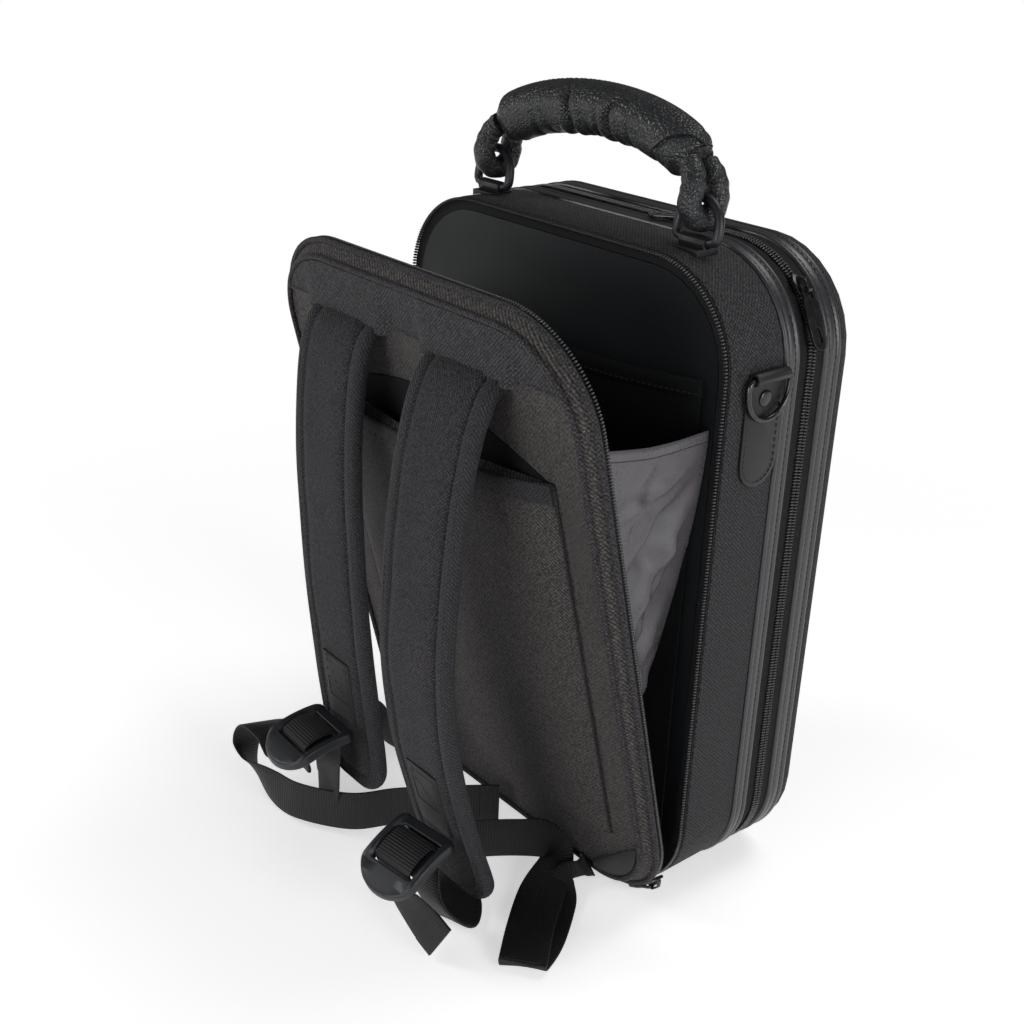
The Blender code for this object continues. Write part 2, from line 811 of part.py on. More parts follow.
def makeHandleLoop(side):
    # One rolled cord: from the grip's end down through the ring and back up behind it
    sign = sides[side]
    endX, endZ = archPoint(1.0)
    beforeX, beforeZ = archPoint(1 - 1 / gripSteps)
    lead = Vector((endX - beforeX, 0.0, endZ - beforeZ)).normalized()
    bendHeight = ringHeight - 4 * ringWire - gap - handleCord + handleCordSpread
    start = Vector((endX, 0.0, endZ)) + lead * 4 * gap
    foot = Vector((ringCentreX, 0.0, bendHeight))
    reach = (foot - start).length * 0.4
    leg = bezier(start, start + lead * reach, foot + Vector((0.0, 0.0, reach)), foot, 6)
    front = []
    for index, point in enumerate(leg):
        share = max(index - 1, 0) / (len(leg) - 2)
        spread = handleCordGather + (handleCordSpread - handleCordGather) * share
        front.append(point - Vector((0.0, spread, 0.0)))
    bottom = [foot + Vector((0.0, -handleCordSpread * math.cos(math.pi * step / 8),
                             -handleCordSpread * math.sin(math.pi * step / 8))) for step in range(1, 8)]
    back = [Vector((point.x, -point.y, point.z)) for point in reversed(front)]
    path = [Vector((sign * p.x, p.y + handleY, p.z + handleAxisZ)) for p in front + bottom + back]
    return tube("handle_loop_" + side, path, handleCord, leather, resolution=2)


def makeGrip():
    path = []
    for step in range(2 * gripSteps + 1):
        x, z = archPoint(step / gripSteps - 1)
        path.append(Vector((x, handleY, handleAxisZ + z)))
    return tube("handle_grip", path, gripRadius, leather, resolution=3)


# Side rings

def makeSideTab(side):
    sign = sides[side]
    name = "side_tab_" + side
    half = sideTabWidth / 2
    barZ = sideTabTop
    low = sideTabTop - sideTabLength
    steps = 8
    outline = [(half, barZ)] + [(-half, barZ)]
    outline += [(x, z) for x, z in arcPoints((0.0, low + half), half, 180, 360, steps)]
    tab = plate(name, [outline], 0.0, sideTabThickness, vinyl)
    turn = Matrix.Rotation(math.radians(90), 4, "Z") if sign > 0 else Matrix.Rotation(math.radians(-90), 4, "Z")
    x = sign * (halfWidth + gap + sideTabThickness)
    tab.data.transform(Matrix.Translation((x, sideTabY, 0.0)) @ turn)
    axisX = sign * (halfWidth + sideTabStandoff)
    outer = sideRingWire + gap + sideTabThickness
    loopHalf = sideRingWidth / 2 - 3 * sideRingWire
    sleeve = tube(name + "_sleeve", [Vector((axisX, sideTabY - loopHalf, barZ)),
                                     Vector((axisX, sideTabY + loopHalf, barZ))], outer, vinyl,
                  resolution=3, collection=cutters)
    bore = tube(name + "_bore", [Vector((axisX, sideTabY - sideRingWidth, barZ)),
                                 Vector((axisX, sideTabY + sideRingWidth, barZ))], sideRingWire + gap, vinyl,
                resolution=3, collection=cutters)
    wallSide = block(name + "_wall_side", (-halfWidth - gap, sideTabY - sideRingWidth, barZ - sideTabLength),
                     (halfWidth + gap, sideTabY + sideRingWidth, barZ + overrun), vinyl, cutters)
    carve(tab, sleeve, "UNION")
    carve(tab, wallSide)
    return carve(tab, bore)


def makeSideRing(side):
    sign = sides[side]
    axisX = sign * (halfWidth + sideTabStandoff)
    path = ringPath(sideRingWidth, sideRingDrop, sideRingWire)
    points = [Vector((axisX, sideTabY + u, sideTabTop - v)) for u, v in path]
    return tube("side_ring_" + side, points, sideRingWire, blackMetal, closed=True)


def makeRivet(side):
    sign = sides[side]
    base = halfWidth + 2 * gap + sideTabThickness
    height = sideTabTop - rivetDrop
    work = bmesh.new()
    profile = [(0.0, rivetHeight), (rivetRadius * 0.6, rivetHeight * 0.9), (rivetRadius, rivetHeight * 0.35),
               (rivetRadius, 0.0), (0.0, 0.0)]
    points = [work.verts.new((radius, 0.0, lift)) for radius, lift in profile]
    for first, second in zip(points, points[1:]):
        work.edges.new((first, second))
    mesh = bpy.data.meshes.new("side_rivet_" + side)
    work.to_mesh(mesh)
    work.free()
    rivet = addMesh("side_rivet_" + side, mesh, blackMetal)
    turn = rivet.modifiers.new("turn", "SCREW")
    turn.steps = 16
    turn.render_steps = 16
    turn.use_merge_vertices = True
    turn.merge_threshold = gap / 10
    turn.use_normal_calculate = True
    turn.use_normal_flip = True
    rivet.rotation_euler = (0.0, sign * math.radians(90), 0.0)
    rivet.location = (sign * base, sideTabY, height)
    return rivet


# Sliders and pulls, each drawn flat: along X, across Y and up Z

def makeSlider(name):
    half = sliderLength / 2
    width = sliderWidth / 2
    waist = width * 0.6
    shoulder = half * 0.5
    plan = [(half, waist), (shoulder, width), (-shoulder, width), (-half, waist),
            (-half, -waist), (-shoulder, -width), (shoulder, -width), (half, -waist)]
    slider = plate(name, [plan], -sliderPlate, 0.0, blackMetal)
    slider.data.transform(Matrix.Rotation(math.radians(-90), 4, "X"))
    low = sliderPlate / 2
    front = -half + gap
    rear = half * 0.75
    slope = rear * 0.3
    head = bridgeHeight - bridgeBar
    outline = [(front, low), (front, head), (front + bridgeBar, bridgeHeight), (slope, bridgeHeight),
               (rear, bridgeHeight / 2), (rear, low), (rear - bridgePillar, low),
               (rear - bridgePillar, bridgeHeight / 2 - bridgeBar / 2), (slope - bridgeBar / 3, head),
               (front + bridgePillar, head), (front + bridgePillar, low)]
    bridge = plate(name + "_bridge", [outline], -bridgeWidth / 2, bridgeWidth / 2, blackMetal, cutters)
    return carve(slider, bridge, "UNION")


def makePull(name, length):
    # The pull's end bar lies on the axis at the origin and the pull runs along -X
    half = pullWidth / 2
    eyeHalf = pullEyeWidth / 2
    neck = eyeHalf + pullEndBar
    shoulder = -pullEyeLength - 1.5 * pullEndBar
    bar = pullEndBar / 2
    outline = arcPoints((half - length, 0.0), half, 90, 270, 8)
    outline += [(shoulder, -half), (-pullEyeLength, -neck), (bar, -neck), (bar, neck),
                (-pullEyeLength, neck), (shoulder, half)]
    eye = [(-bar, -eyeHalf), (-bar, eyeHalf), (-pullEyeLength, eyeHalf), (-pullEyeLength, -eyeHalf)]
    slotHalf = pullSlotWidth / 2
    slotEnd = half - length
    slot = arcPoints((slotEnd, 0.0), slotHalf, 90, 270, 6)
    slot += arcPoints((slotEnd + pullSlotLength - pullSlotWidth, 0.0), slotHalf, 270, 450, 6)
    pull = plate(name, [outline, eye, slot], -pullThickness / 2, pullThickness / 2, blackMetal)
    pull.data.transform(Matrix.Rotation(math.radians(-90), 4, "X"))
    return pull


def placeSlider(key, place, frame, radius, lean, turn, length):
    # The slider's axis holder stands at the centre of its track's bend, or on a straight track at
    # the slider itself, and the pull's holder stands on the bridge
    holder = axisEmpty("slider_" + key + "_axis", place, frame.to_euler())
    lift = radius + pocketCoilRadius + gap
    hangOn(makeSlider("slider_" + key), holder, Vector((0.0, 0.0, lift)))
    spot = Vector((-sliderLength / 2 + pullAxisInset, 0.0, lift + pullAxisHeight))
    pose = Matrix.Rotation(math.radians(turn), 3, "Z") @ Matrix.Rotation(math.radians(-lean), 3, "Y")
    grip = axisEmpty("pull_" + key + "_axis", spot, pose.to_euler(), holder)
    hangOn(makePull("pull_" + key, length), grip, Vector())


def trackFrame(angle):
    # Along the track, across it and out of it, at an angle round the case's outline
    turn = math.radians(angle)
    along = Vector((-math.sin(turn), 0.0, math.cos(turn)))
    out = Vector((math.cos(turn), 0.0, math.sin(turn)))
    return Matrix((along, out.cross(along), out)).transposed()


def buildSliders():
    placeSlider("corner", (cornerX, splitY, topCornerZ), trackFrame(cornerSliderAngle), cornerRadius,
                cornerPullLean, 0.0, pullLength)
    flat = Matrix.Identity(3)
    placeSlider("top", (topSliderX, splitY, caseHeight), flat, 0.0, topPullLean, topPullTurn, pullLength)
    placeSlider("pocket", (cornerX, 0.5 * (flapCoilY + frontY), cornerRadius), trackFrame(-pocketSliderAngle),
                  cornerRadius - pocketSliderSeat, pocketPullLean, 0.0, pocketPullLength)


# Straps, adjusters and webbing

def flapPoint(x, height, lift):
    # A place on the open flap's front
    turn = Matrix.Rotation(openAngle, 3, "X")
    axis = Vector((0.0, flapHingeY, flapHingeHeight))
    return turn @ (frontAnchor(x, height, lift) - axis) + axis


def strapRoot(side):
    return flapPoint(strapCentres[side], yokeSeamHeight - 3 * yokeThickness, strapRootLift)


# Places down each strap as shares of its drop: outward from the root, then downward
strapPathShares = {
    "left": [(0.0, 0.0), (0.022, 0.016), (0.040, 0.080), (0.050, 0.210), (0.048, 0.350), (0.038, 0.520),
             (0.020, 0.690), (0.004, 0.820), (0.000, 0.908)],
    "right": [(0.0, 0.0), (0.024, 0.018), (0.052, 0.090), (0.078, 0.230), (0.094, 0.450), (0.078, 0.620),
              (0.040, 0.775), (0.000, 0.900), (-0.012, 0.962)],
}


def strapPath(side):
    root = strapRoot(side)
    return [root + Vector((0.0, -out * strapDrop, -down * strapDrop)) for out, down in strapPathShares[side]]


def strapSeam(side):
    # The top edge of the strap's end, where its cloth bends out of the yoke
    path = smoothPath(strapPath(side), strapSteps)
    face = (path[1] - path[0]).cross(Vector((1.0, 0.0, 0.0))).normalized()
    return path[0] + face * (strapThickness / 2)


def strapSection(place, ahead, width, thickness):
    # A padded section: thin bound edges and a raised middle, facing away from the flap
    across = Vector((1.0, 0.0, 0.0))
    face = ahead.cross(across).normalized()
    halfShares = [(-1.0, -0.22), (-0.86, -0.30), (-0.72, -0.50), (0.0, -0.50), (0.72, -0.50), (0.86, -0.30),
                  (1.0, -0.22), (1.0, 0.22), (0.86, 0.30), (0.72, 0.46), (0.36, 0.50), (0.0, 0.50),
                  (-0.36, 0.50), (-0.72, 0.46), (-0.86, 0.30), (-1.0, 0.22)]
    return [place + across * (u * width / 2) + face * (v * thickness) for u, v in halfShares]


def makeStrap(side):
    path = smoothPath(strapPath(side), strapSteps)
    rings = []
    last = len(path) - 1
    endSteps = 4
    for index, place in enumerate(path):
        ahead = path[min(index + 1, last)] - path[max(index - 1, 0)]
        narrowing = max(0.0, (index - (last - endSteps)) / endSteps)
        width = strapWidth - (strapWidth - strapEndWidth) * (1 - math.sqrt(max(1 - narrowing ** 2, 0.0)))
        rings.append(strapSection(place, ahead.normalized(), width, strapThickness))
    strap = loft("shoulder_strap_" + side, rings, oxford)
    strap.data.shade_smooth()
    strap.data.set_sharp_from_angle(angle=math.radians(40))
    return strap


# Where each adjuster hangs: share of the strap's drop, tilt below level and turn to the right
adjusterDropShare = {"left": 0.764, "right": 0.812}
adjusterTilt = {"left": 11.0, "right": 23.0}
adjusterTurn = {"left": -3.0, "right": 7.0}


def strapPlace(side, share):
    # The strap's middle point at a share of its drop
    path = smoothPath(strapPath(side), 90)
    target = strapRoot(side).z - share * strapDrop
    return min(path, key=lambda point: abs(point.z - target))


def adjusterFrame(side):
    # A frame on the adjuster: X across, Y along it away from the strap, Z out of its upper face
    tilt = math.radians(adjusterTilt[side])
    turn = math.radians(adjusterTurn[side])
    along = Vector((math.sin(turn) * math.cos(tilt), -math.cos(turn) * math.cos(tilt), -math.sin(tilt)))
    across = Vector((0.0, 0.0, 1.0)).cross(along).normalized()
    out = across.cross(along).normalized()
    if out.z < 0:
        out = -out
    across = along.cross(out).normalized()
    start = strapPlace(side, adjusterDropShare[side])
    start = start - Vector((0.0, strapThickness / 2 + buckleStandoff, 0.0))
    frame = Matrix((across, along, out)).transposed().to_4x4()
    frame.translation = start + along * (buckleLength / 2)
    return frame


def makeAdjuster(side):
    # A ladder-lock: a slot at each end of a wide middle bar and a flared lip at its far end
    halfWide = buckleWidth / 2
    halfLong = buckleLength / 2
    corner = buckleBar / 2
    outline = roundedBox(-halfWide, halfWide, -halfLong, halfLong, corner)
    slotHalf = buckleSlotWidth / 2
    loops = [outline]
    for low in (-halfLong + buckleBar, halfLong - buckleBar - buckleSlot):
        loops.append(roundedBox(-slotHalf, slotHalf, low, low + buckleSlot, corner / 2))
    name = "ladder_lock_" + side
    half = buckleThickness / 2
    lock = plate(name, loops, -half, half, gloss)
    lip = block(name + "_lip", (-halfWide, -half, halfLong - buckleBar / 2),
                (halfWide, 0.0, halfLong + buckleLip), gloss, cutters)
    pivot = Matrix.Translation((0.0, -half, halfLong - buckleBar / 2))
    lip.data.transform(pivot @ Matrix.Rotation(math.radians(-22), 4, "X") @ pivot.inverted())
    carve(lock, lip, "UNION")
    # The outline was drawn in X and Z, so Z turns into the frame's Y and Y into its -Z
    lie = adjusterFrame(side) @ Matrix.Rotation(math.radians(-90), 4, "X")
    lock.data.transform(lie)
    lip.data.transform(lie)
    return lock


def ribbon(name, places, faces, widths, thickness, material):
    # A flat strip along the places, turned so that its face looks along each given direction
    rings = []
    last = len(places) - 1
    for index, (place, face, width) in enumerate(zip(places, faces, widths)):
        ahead = (places[min(index + 1, last)] - places[max(index - 1, 0)]).normalized()
        across = ahead.cross(face).normalized()
        up = across.cross(ahead).normalized()
        wide = across * (width / 2)
        thick = up * (thickness / 2)
        rings.append([place - wide - thick, place + wide - thick, place + wide + thick, place - wide + thick])
    return loft(name, rings, material)


def makeStrapTab(side):
    # Webbing stitched flat on the strap above the adjuster
    low = adjusterDropShare[side]
    count = 8
    places = []
    faces = []
    centres = [strapPlace(side, low - strapTabLength / strapDrop * step / count) for step in range(count + 1)]
    for index, point in enumerate(centres):
        ahead = (centres[min(index + 1, count)] - centres[max(index - 1, 0)]).normalized()
        face = ahead.cross(Vector((1.0, 0.0, 0.0))).normalized()
        if face.y > 0:
            face = -face
        places.append(point + face * (strapThickness / 2 + gap + tabThickness / 2))
        faces.append(face)
    return ribbon("strap_tab_" + side, places, faces, [webbingWidth] * (count + 1), tabThickness, webbingCloth)


# The webbing's way from the flap's foot to the adjuster and on to its loose end. Each step is a
# place in shares of the webbing's width, the way its face looks, and its share of the full width
footRouteShares = {
    "left": [((0.00, 0.00, 0.00), (0.0, -1.0, 0.0), 0.60), ((-0.34, -0.42, 0.09), (0.1, -1.0, 0.0), 0.60),
             ((-1.10, -0.62, 0.24), (0.0, -1.0, 0.0), 0.90), ((-1.72, -0.66, 0.36), (0.3, -1.0, 0.0), 1.0),
             ((-2.06, -1.20, 0.30), (1.0, -0.2, 0.0), 1.0), ((-1.76, -2.10, 0.20), (0.7, 0.7, 0.0), 1.0),
             ((-0.84, -2.84, 0.18), (0.5, 0.85, 0.0), 1.0), ((-0.10, -3.32, 0.20), (0.4, 0.9, 0.0), 1.0),
             ((0.46, -3.48, 0.62), (0.1, 1.0, 0.0), 1.0)],
    "right": [((0.00, 0.00, 0.00), (0.0, -1.0, 0.0), 0.60), ((0.04, -0.30, 0.05), (0.5, -0.7, 0.5), 0.35),
              ((-0.10, -0.60, -0.04), (0.3, -0.3, 0.9), 0.50), ((0.17, -1.14, -0.27), (0.0, 0.0, 1.0), 1.0),
              ((0.96, -2.18, -0.27), (0.0, 0.0, 1.0), 1.0), ((1.34, -2.92, -0.21), (0.0, 0.0, 1.0), 1.0),
              ((1.42, -3.08, -0.14), (-0.60, 0.80, 0.0), 1.0), ((1.30, -2.94, -0.08), (0.0, 0.0, -1.0), 1.0),
              ((0.62, -2.18, -0.15), (0.0, 0.0, -1.0), 1.0), ((-0.07, -1.27, -0.15), (0.0, 0.0, -1.0), 1.0),
              ((-0.50, -0.50, 0.02), (-0.5, 0.4, -0.6), 0.75), ((-0.99, -0.32, 0.18), (-0.1, 1.0, -0.1), 1.0),
              ((-1.43, -0.74, 0.18), (-0.8, 0.6, 0.0), 1.0), ((-1.94, -1.48, 0.18), (-0.8, 0.6, 0.0), 1.0),
              ((-2.20, -2.00, 0.16), (-1.0, 0.0, 0.0), 1.0), ((-1.94, -2.40, 0.05), (-0.6, -0.6, 0.6), 0.9),
              ((-1.34, -2.66, -0.20), (0.0, 0.0, 1.0), 1.0), ((-0.78, -3.00, -0.24), (0.0, 0.0, 1.0), 1.0),
              ((-0.50, -3.40, -0.12), (-0.2, 0.5, 0.8), 1.0)],
}
adjusterRouteShares = {
    "left": [((-0.06, 0.00, -0.55), (0.0, 1.0, 0.0), 1.0)],
    "right": [((0.30, -0.10, -0.95), (0.0, 1.0, 0.2), 1.0)],
}
tailRouteShares = {
    "left": [((-0.45, 0.04, -0.42), (0.1, -0.4, -0.9), 1.0), ((-1.30, 0.26, -0.24), (0.0, 0.0, -1.0), 1.0),
             ((-2.13, 0.26, -0.42), (0.5, -0.2, -0.9), 1.0), ((-2.55, 0.20, -1.00), (1.0, 0.3, -0.1), 1.0),
             ((-2.24, 0.10, -1.56), (0.5, 0.8, 0.3), 1.0), ((-1.33, 0.22, -1.79), (0.0, 1.0, 0.0), 1.0),
             ((-0.53, 0.42, -1.79), (-0.4, 0.9, 0.0), 1.0), ((0.43, 1.12, -1.79), (-0.7, 0.7, 0.0), 1.0),
             ((0.87, 2.02, -1.79), (-0.9, 0.4, 0.0), 1.0), ((1.43, 2.90, -1.79), (-0.8, 0.5, 0.0), 1.0),
             ((1.83, 3.50, -1.79), (-0.8, 0.6, 0.0), 1.0), ((2.20, 4.00, -1.79), (-0.8, 0.6, 0.0), 1.0)],
    "right": [((0.12, 0.05, -0.40), (0.0, -1.0, 0.0), 1.0), ((0.42, 0.15, -0.72), (0.0, -1.0, 0.1), 1.0),
              ((0.80, 0.22, -0.95), (0.0, -1.0, 0.2), 1.0)],
}


def webbingFoot(side):
    lift = tabThickness + webbingThickness / 2 + 3 * gap
    return flapPoint(sides[side] * (cornerTabInner - webbingWidth / 10), webbingWidth / 2, lift)


def adjusterThread(side):
    # Up through the near slot, over the middle bar and down through the far slot
    frame = adjusterFrame(side)
    reach = buckleLength / 2 - buckleBar - buckleSlot / 2
    rise = buckleThickness / 2 + webbingThickness
    shares = [(-1.0, -2.2, (0.0, -1.0, 0.0)), (-1.0, -1.0, (0.0, -1.0, 0.0)), (-1.0, 0.0, (0.0, -1.0, 0.0)),
              (-0.8, 0.8, (0.0, -0.6, 0.8)), (0.0, 1.2, (0.0, 0.0, 1.0)), (0.8, 0.8, (0.0, 0.6, 0.8)),
              (1.0, 0.0, (0.0, 1.0, 0.0)), (1.0, -1.0, (0.0, 1.0, 0.0)), (1.0, -2.0, (0.0, 1.0, 0.0))]
    turn = frame.to_3x3()
    return [(frame @ Vector((0.0, u * reach, v * rise)), turn @ Vector(face), 1.0) for u, v, face in shares]


def makeWebbing(side):
    thread = adjusterThread(side)
    steps = []
    for start, table in ((webbingFoot(side), footRouteShares), (thread[0][0], adjusterRouteShares)):
        steps += [(start + Vector(place) * webbingWidth, Vector(face), share)
                  for place, face, share in table[side]]
    steps += thread
    exit = thread[-1][0]
    steps += [(exit + Vector(place) * webbingWidth, Vector(face), share)
              for place, face, share in tailRouteShares[side]]
    count = 4 * (len(steps) - 1)
    places = smoothPath([place for place, face, share in steps], count)
    faces = smoothPath([face for place, face, share in steps], count)
    shares = smoothPath([Vector((share, 0.0, 0.0)) for place, face, share in steps], count)
    widths = [webbingWidth * share.x for share in shares]
    return ribbon("webbing_" + side, places, faces, widths, webbingThickness, webbingCloth)


def buildStraps():
    for side in sides:
        axis = axisEmpty("strap_axis_" + side, strapSeam(side))
        for piece in (makeStrap(side), makeStrapTab(side), makeAdjuster(side), makeWebbing(side)):
            hangOn(piece, axis)


# Assembly

def buildBody():
    makeBodyShell()
    makeCradle()
    makeBand("body_band", bandBodyStart, bandBodyEnd)
    makeMainTape("body_zip_tape", bandBodyEnd + gap, splitY - 2 * coilOffset)
    makeMainCoil("body_zip_coil", splitY - coilOffset)
    makeHingeRoll()
    makePocketTape("pocket_tape_body", shellFrontY - gap - tapeThickness, pocketCoilRadius / 2)
    makePocketCoil("pocket_coil_body", shellFrontY - 2 * gap - tapeThickness - pocketCoilRadius)
    makePocketLining()
    makeDocumentPocket()
    makeFlapHinge()
    for side in sides:
        makeHandleTab(side)
        makeSideTab(side)
        makeRivet(side)


def buildLid():
    axis = axisEmpty("lid_axis", (-halfWidth - lidHingeStandoff, splitY, caseHeight / 2))
    pieces = [makeLidShell(),
              makeBand("lid_band", bandLidStart, bandLidEnd),
              makeMainTape("lid_zip_tape", splitY + 2 * coilOffset, bandLidStart - gap),
              makeMainCoil("lid_zip_coil", splitY + coilOffset),
              makeLidPad()]
    for piece in pieces:
        hangOn(piece, axis)


def buildFlap():
    axis = axisEmpty("flap_axis", (0.0, flapHingeY, flapHingeHeight), (openAngle, 0.0, 0.0))
    pieces = [makeFlapPanel(),
              makePocketTape("pocket_tape_flap", flapTapeY - tapeThickness, flapRise),
              makePocketCoil("pocket_coil_flap", flapCoilY),
              makeRearPiping(),
              makeFrontPiping(),
              makeYoke(),
              makeStowPocket(),
              makeCornerTab("left"),
              makeCornerTab("right")]
    for piece in pieces:
        hangOn(piece, axis)
    for side in sides:
        makeGusset(side)


def buildHandle():
    axis = axisEmpty("handle_axis", (0.0, handleY, handleAxisZ), (-math.radians(handleLean), 0.0, 0.0))
    for side in sides:
        hangOn(makeHandleRing(side), axis)
        hangOn(makeHandleLoop(side), axis)
    hangOn(makeGrip(), axis)


def buildSideRings():
    for side, sign in sides.items():
        axis = axisEmpty("side_ring_axis_" + side, (sign * (halfWidth + sideTabStandoff), sideTabY, sideTabTop))
        hangOn(makeSideRing(side), axis)


buildBody()
buildLid()
buildFlap()
buildHandle()
buildSideRings()
buildSliders()
buildStraps()
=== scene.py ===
import json
import math
from bisect import bisect_right

import bmesh
import bpy
from mathutils import Matrix, Vector, noise


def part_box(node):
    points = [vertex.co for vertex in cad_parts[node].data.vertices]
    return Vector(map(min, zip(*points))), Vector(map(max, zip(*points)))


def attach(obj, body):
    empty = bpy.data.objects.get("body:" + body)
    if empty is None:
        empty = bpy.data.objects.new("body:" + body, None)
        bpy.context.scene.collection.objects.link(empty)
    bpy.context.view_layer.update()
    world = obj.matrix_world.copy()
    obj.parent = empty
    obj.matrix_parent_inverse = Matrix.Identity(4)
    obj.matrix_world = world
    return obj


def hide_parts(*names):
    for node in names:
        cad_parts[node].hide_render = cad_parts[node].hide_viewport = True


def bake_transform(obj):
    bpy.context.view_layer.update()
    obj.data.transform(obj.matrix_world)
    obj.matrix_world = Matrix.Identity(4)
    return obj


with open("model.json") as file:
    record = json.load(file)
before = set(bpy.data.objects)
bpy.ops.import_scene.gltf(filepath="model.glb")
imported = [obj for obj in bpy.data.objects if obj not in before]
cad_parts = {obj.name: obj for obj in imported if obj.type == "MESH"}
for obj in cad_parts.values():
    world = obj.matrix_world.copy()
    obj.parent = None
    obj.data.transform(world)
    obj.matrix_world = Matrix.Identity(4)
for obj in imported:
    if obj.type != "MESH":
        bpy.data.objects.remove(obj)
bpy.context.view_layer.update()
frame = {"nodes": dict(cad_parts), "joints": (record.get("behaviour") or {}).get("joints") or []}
print("frame loaded")


# Sizes that the CAD parts give

def low(node):
    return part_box(node)[0]


def high(node):
    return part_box(node)[1]


case = {
    "half": high("body_shell").x,
    "top": high("body_shell").z,
    "corner": 0.052,  # radius of the case's corners seen from the front
    "steps": 20,  # parts of each quarter turn
    "trackEnd": 50.0,  # degrees that the pocket's track runs into each lower corner
}
rightWay = Vector((1.0, 0.0, 0.0))
backWay = Vector((0.0, 1.0, 0.0))
frontWay = Vector((0.0, -1.0, 0.0))
upWay = Vector((0.0, 0.0, 1.0))
flapJoint = next(j for j in frame["joints"] if j["name"] == "flap_hinge_joint")
flapHinge = Vector(flapJoint["pos_m"])
flapOpen = math.radians(flapJoint["range_deg"][1])
tipFlap = (Matrix.Translation(flapHinge) @ Matrix.Rotation(flapOpen, 4, "X")
           @ Matrix.Translation(-flapHinge))
tipTurn = tipFlap.to_3x3()
flapUp = (tipTurn @ upWay).normalized()


# Camera, lamps and floor

camera = {
    "place": (0.5129, -0.4886, 0.4973),
    "yaw": 49.51,
    "pitch": 24.0,
    "roll": 2.12,
    "lens": 49.15,
}


def makeCamera():
    yaw = math.radians(camera["yaw"])
    pitch = math.radians(camera["pitch"])
    roll = math.radians(camera["roll"])
    right = Vector((math.cos(yaw), math.sin(yaw), 0.0))
    back = Vector((math.sin(yaw) * math.cos(pitch), -math.cos(yaw) * math.cos(pitch), math.sin(pitch)))
    up = back.cross(right)
    sideways = right * math.cos(roll) + up * math.sin(roll)
    upright = up * math.cos(roll) - right * math.sin(roll)
    data = bpy.data.cameras.new("photoCamera")
    data.lens = camera["lens"]
    data.sensor_width = 36.0
    data.clip_start = 0.01
    data.clip_end = 100.0
    eye = bpy.data.objects.new("photoCamera", data)
    bpy.context.scene.collection.objects.link(eye)
    turn = Matrix((sideways, upright, back)).transposed().to_4x4()
    eye.matrix_world = Matrix.Translation(camera["place"]) @ turn
    bpy.context.scene.camera = eye


lamps = {
    "key": {"place": (-1.25, -1.05, 1.00), "aim": (0.0, -0.03, 0.12), "size": 0.5, "power": 7.0},
    "side": {"place": (1.65, -0.05, 0.65), "aim": (0.0, 0.0, 0.14), "size": 0.8, "power": 12.0},
    "top": {"place": (0.25, 0.75, 1.75), "aim": (0.0, 0.0, 0.25), "size": 0.8, "power": 9.0},
    "front": {"place": (0.15, -1.35, 0.12), "aim": (0.03, -0.05, 0.06), "size": 0.8, "power": 10.0},
}


def makeLamps():
    for name, values in lamps.items():
        data = bpy.data.lights.new(name + "Lamp", "AREA")
        data.shape = "SQUARE"
        data.size = values["size"]
        data.energy = values["power"]
        lamp = bpy.data.objects.new(name + "Lamp", data)
        lamp.location = values["place"]
        aim = Vector(values["aim"]) - Vector(values["place"])
        lamp.rotation_euler = aim.to_track_quat("-Z", "Y").to_euler()
        bpy.context.scene.collection.objects.link(lamp)


# Node helpers

def addNode(tree, kind, inputs=None, **settings):
    node = tree.nodes.new(kind)
    for key, value in settings.items():
        setattr(node, key, value)
    for key, value in (inputs or {}).items():
        if isinstance(value, bpy.types.NodeSocket):
            tree.links.new(value, node.inputs[key])
        else:
            node.inputs[key].default_value = value
    return node


def calc(tree, operation, first, second=0.0, third=0.0):
    values = {0: first, 1: second, 2: third}
    return addNode(tree, "ShaderNodeMath", values, operation=operation).outputs[0]


def addNoise(tree, coords, scale, detail=2.0):
    inputs = {"Vector": coords.outputs["Object"], "Scale": scale, "Detail": detail}
    return addNode(tree, "ShaderNodeTexNoise", inputs)


def beatsBoth(tree, value, first, second):
    overFirst = calc(tree, "GREATER_THAN", value, first)
    return calc(tree, "MULTIPLY", overFirst, calc(tree, "GREATER_THAN", value, second))


def startGroup(name, inputs, outputs):
    group = bpy.data.node_groups.new(name, "ShaderNodeTree")
    for label, value in inputs.items():
        socket = group.interface.new_socket(label, in_out="INPUT", socket_type="NodeSocketFloat")
        socket.default_value = value
    for label in outputs:
        group.interface.new_socket(label, in_out="OUTPUT", socket_type="NodeSocketFloat")
    return group, group.nodes.new("NodeGroupInput"), group.nodes.new("NodeGroupOutput")


